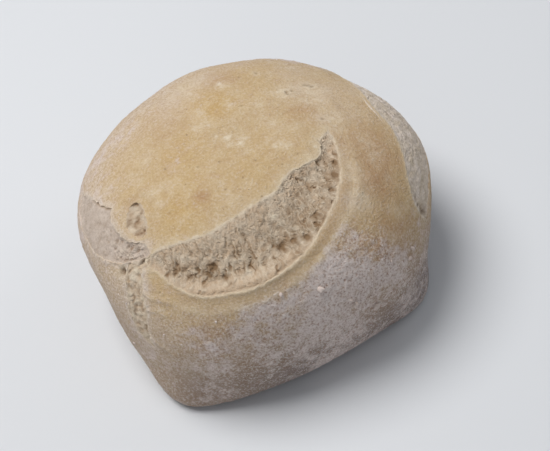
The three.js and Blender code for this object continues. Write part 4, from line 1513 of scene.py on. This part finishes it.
def build_floor(colours):
    """A plain pale floor."""
    mesh = bpy.data.meshes.new("floor")
    half = FLOOR_SIZE / 2
    corners = [(-half, -half, 0), (half, -half, 0), (half, half, 0), (-half, half, 0)]
    mesh.from_pydata(corners, [], [(0, 1, 2, 3)])
    material, tree, _ = start_material("matt_studio_floor")
    shader = add(tree, "ShaderNodeBsdfPrincipled", Base_Color=opaque(colours.floor), Roughness=0.9)
    add(tree, "ShaderNodeOutputMaterial", Surface=shader.outputs["BSDF"])
    mesh.materials.append(material)
    floor = bpy.data.objects.new("floor", mesh)
    bpy.context.scene.collection.objects.link(floor)


def build_lights(scene):
    """A broad soft light from above and a little left, two faint ones, and a pale surrounding."""
    world = bpy.data.worlds.new("pale_studio")
    world.use_nodes = True
    background = world.node_tree.nodes["Background"]
    background.inputs["Color"].default_value = opaque(SURROUNDING)
    background.inputs["Strength"].default_value = SURROUNDING_STRENGTH
    scene.world = world
    for name, spot, size, watts in LIGHTS:
        light = bpy.data.lights.new(name, "AREA")
        light.shape = "DISK"
        light.size = size
        light.energy = watts
        lamp = bpy.data.objects.new(name, light)
        back = unit(np.array(spot) - HEART * MM)
        side = unit(np.cross([0, 0, 1], back))
        lamp.matrix_world = stand(side, np.cross(back, side), back, spot)
        scene.collection.objects.link(lamp)


def stand(right, up, back, spot):
    """A matrix from three axes and a place."""
    return Matrix([(right[k], up[k], back[k], spot[k]) for k in range(3)] + [(0, 0, 0, 1)])


def build_camera(scene):
    """The camera, looking down at the front with a little roll."""
    azimuth, elevation, roll = np.radians((CAMERA_AZIMUTH, CAMERA_ELEVATION, CAMERA_ROLL))
    back = np.array([np.sin(azimuth) * np.cos(elevation), -np.cos(azimuth) * np.cos(elevation),
                     np.sin(elevation)])
    level = unit(np.cross([0, 0, 1], back))
    rise = np.cross(back, level)
    right = np.cos(roll) * level - np.sin(roll) * rise
    up = np.sin(roll) * level + np.cos(roll) * rise
    aim = np.array([HEART[0], HEART[1], CAMERA_AIM[2]]) + CAMERA_AIM[0] * right + CAMERA_AIM[1] * up
    data = bpy.data.cameras.new("studio_camera")
    data.lens = CAMERA_LENS
    data.sensor_width = CAMERA_SENSOR
    data.clip_start = CAMERA_CLIP
    camera = bpy.data.objects.new("studio_camera", data)
    camera.matrix_world = stand(right, up, back, (aim + back * CAMERA_DISTANCE) * MM)
    scene.collection.objects.link(camera)
    scene.camera = camera
    scene.view_settings.view_transform = "Standard"


class BREAD_PT_panel(bpy.types.Panel):
    """Lists the roll's pieces and their sizes and colours"""

    bl_label = "Bread roll"
    bl_idname = "BREAD_PT_panel"
    bl_space_type = "VIEW_3D"
    bl_region_type = "UI"
    bl_category = "Bread"

    def draw(self, context):
        for step in STEPS:
            self.layout.operator(step.bl_idname)
        for group in (context.scene.roll_sizes, context.scene.roll_colours):
            box = self.layout.box()
            for key in group.__annotations__:
                box.prop(group, key)


STEPS = (BREAD_OT_crust, BREAD_OT_crumb, BREAD_OT_strewn, BREAD_OT_stage)
CLASSES = (RollSizes, RollColours) + STEPS + (BREAD_PT_panel,)


def register():
    """Adds the classes and the scene's settings."""
    for item in CLASSES:
        bpy.utils.register_class(item)
    bpy.types.Scene.roll_sizes = bpy.props.PointerProperty(type=RollSizes)
    bpy.types.Scene.roll_colours = bpy.props.PointerProperty(type=RollColours)


def unregister():
    """Takes them away again."""
    del bpy.types.Scene.roll_colours
    del bpy.types.Scene.roll_sizes
    for item in reversed(CLASSES):
        bpy.utils.unregister_class(item)


def main():
    """Builds every piece in order."""
    register()
    bpy.ops.bread.crust()
    bpy.ops.bread.crumb()
    bpy.ops.bread.strewn()
    bpy.ops.bread.stage()
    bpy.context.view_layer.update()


if __name__ == "__main__":
    main()
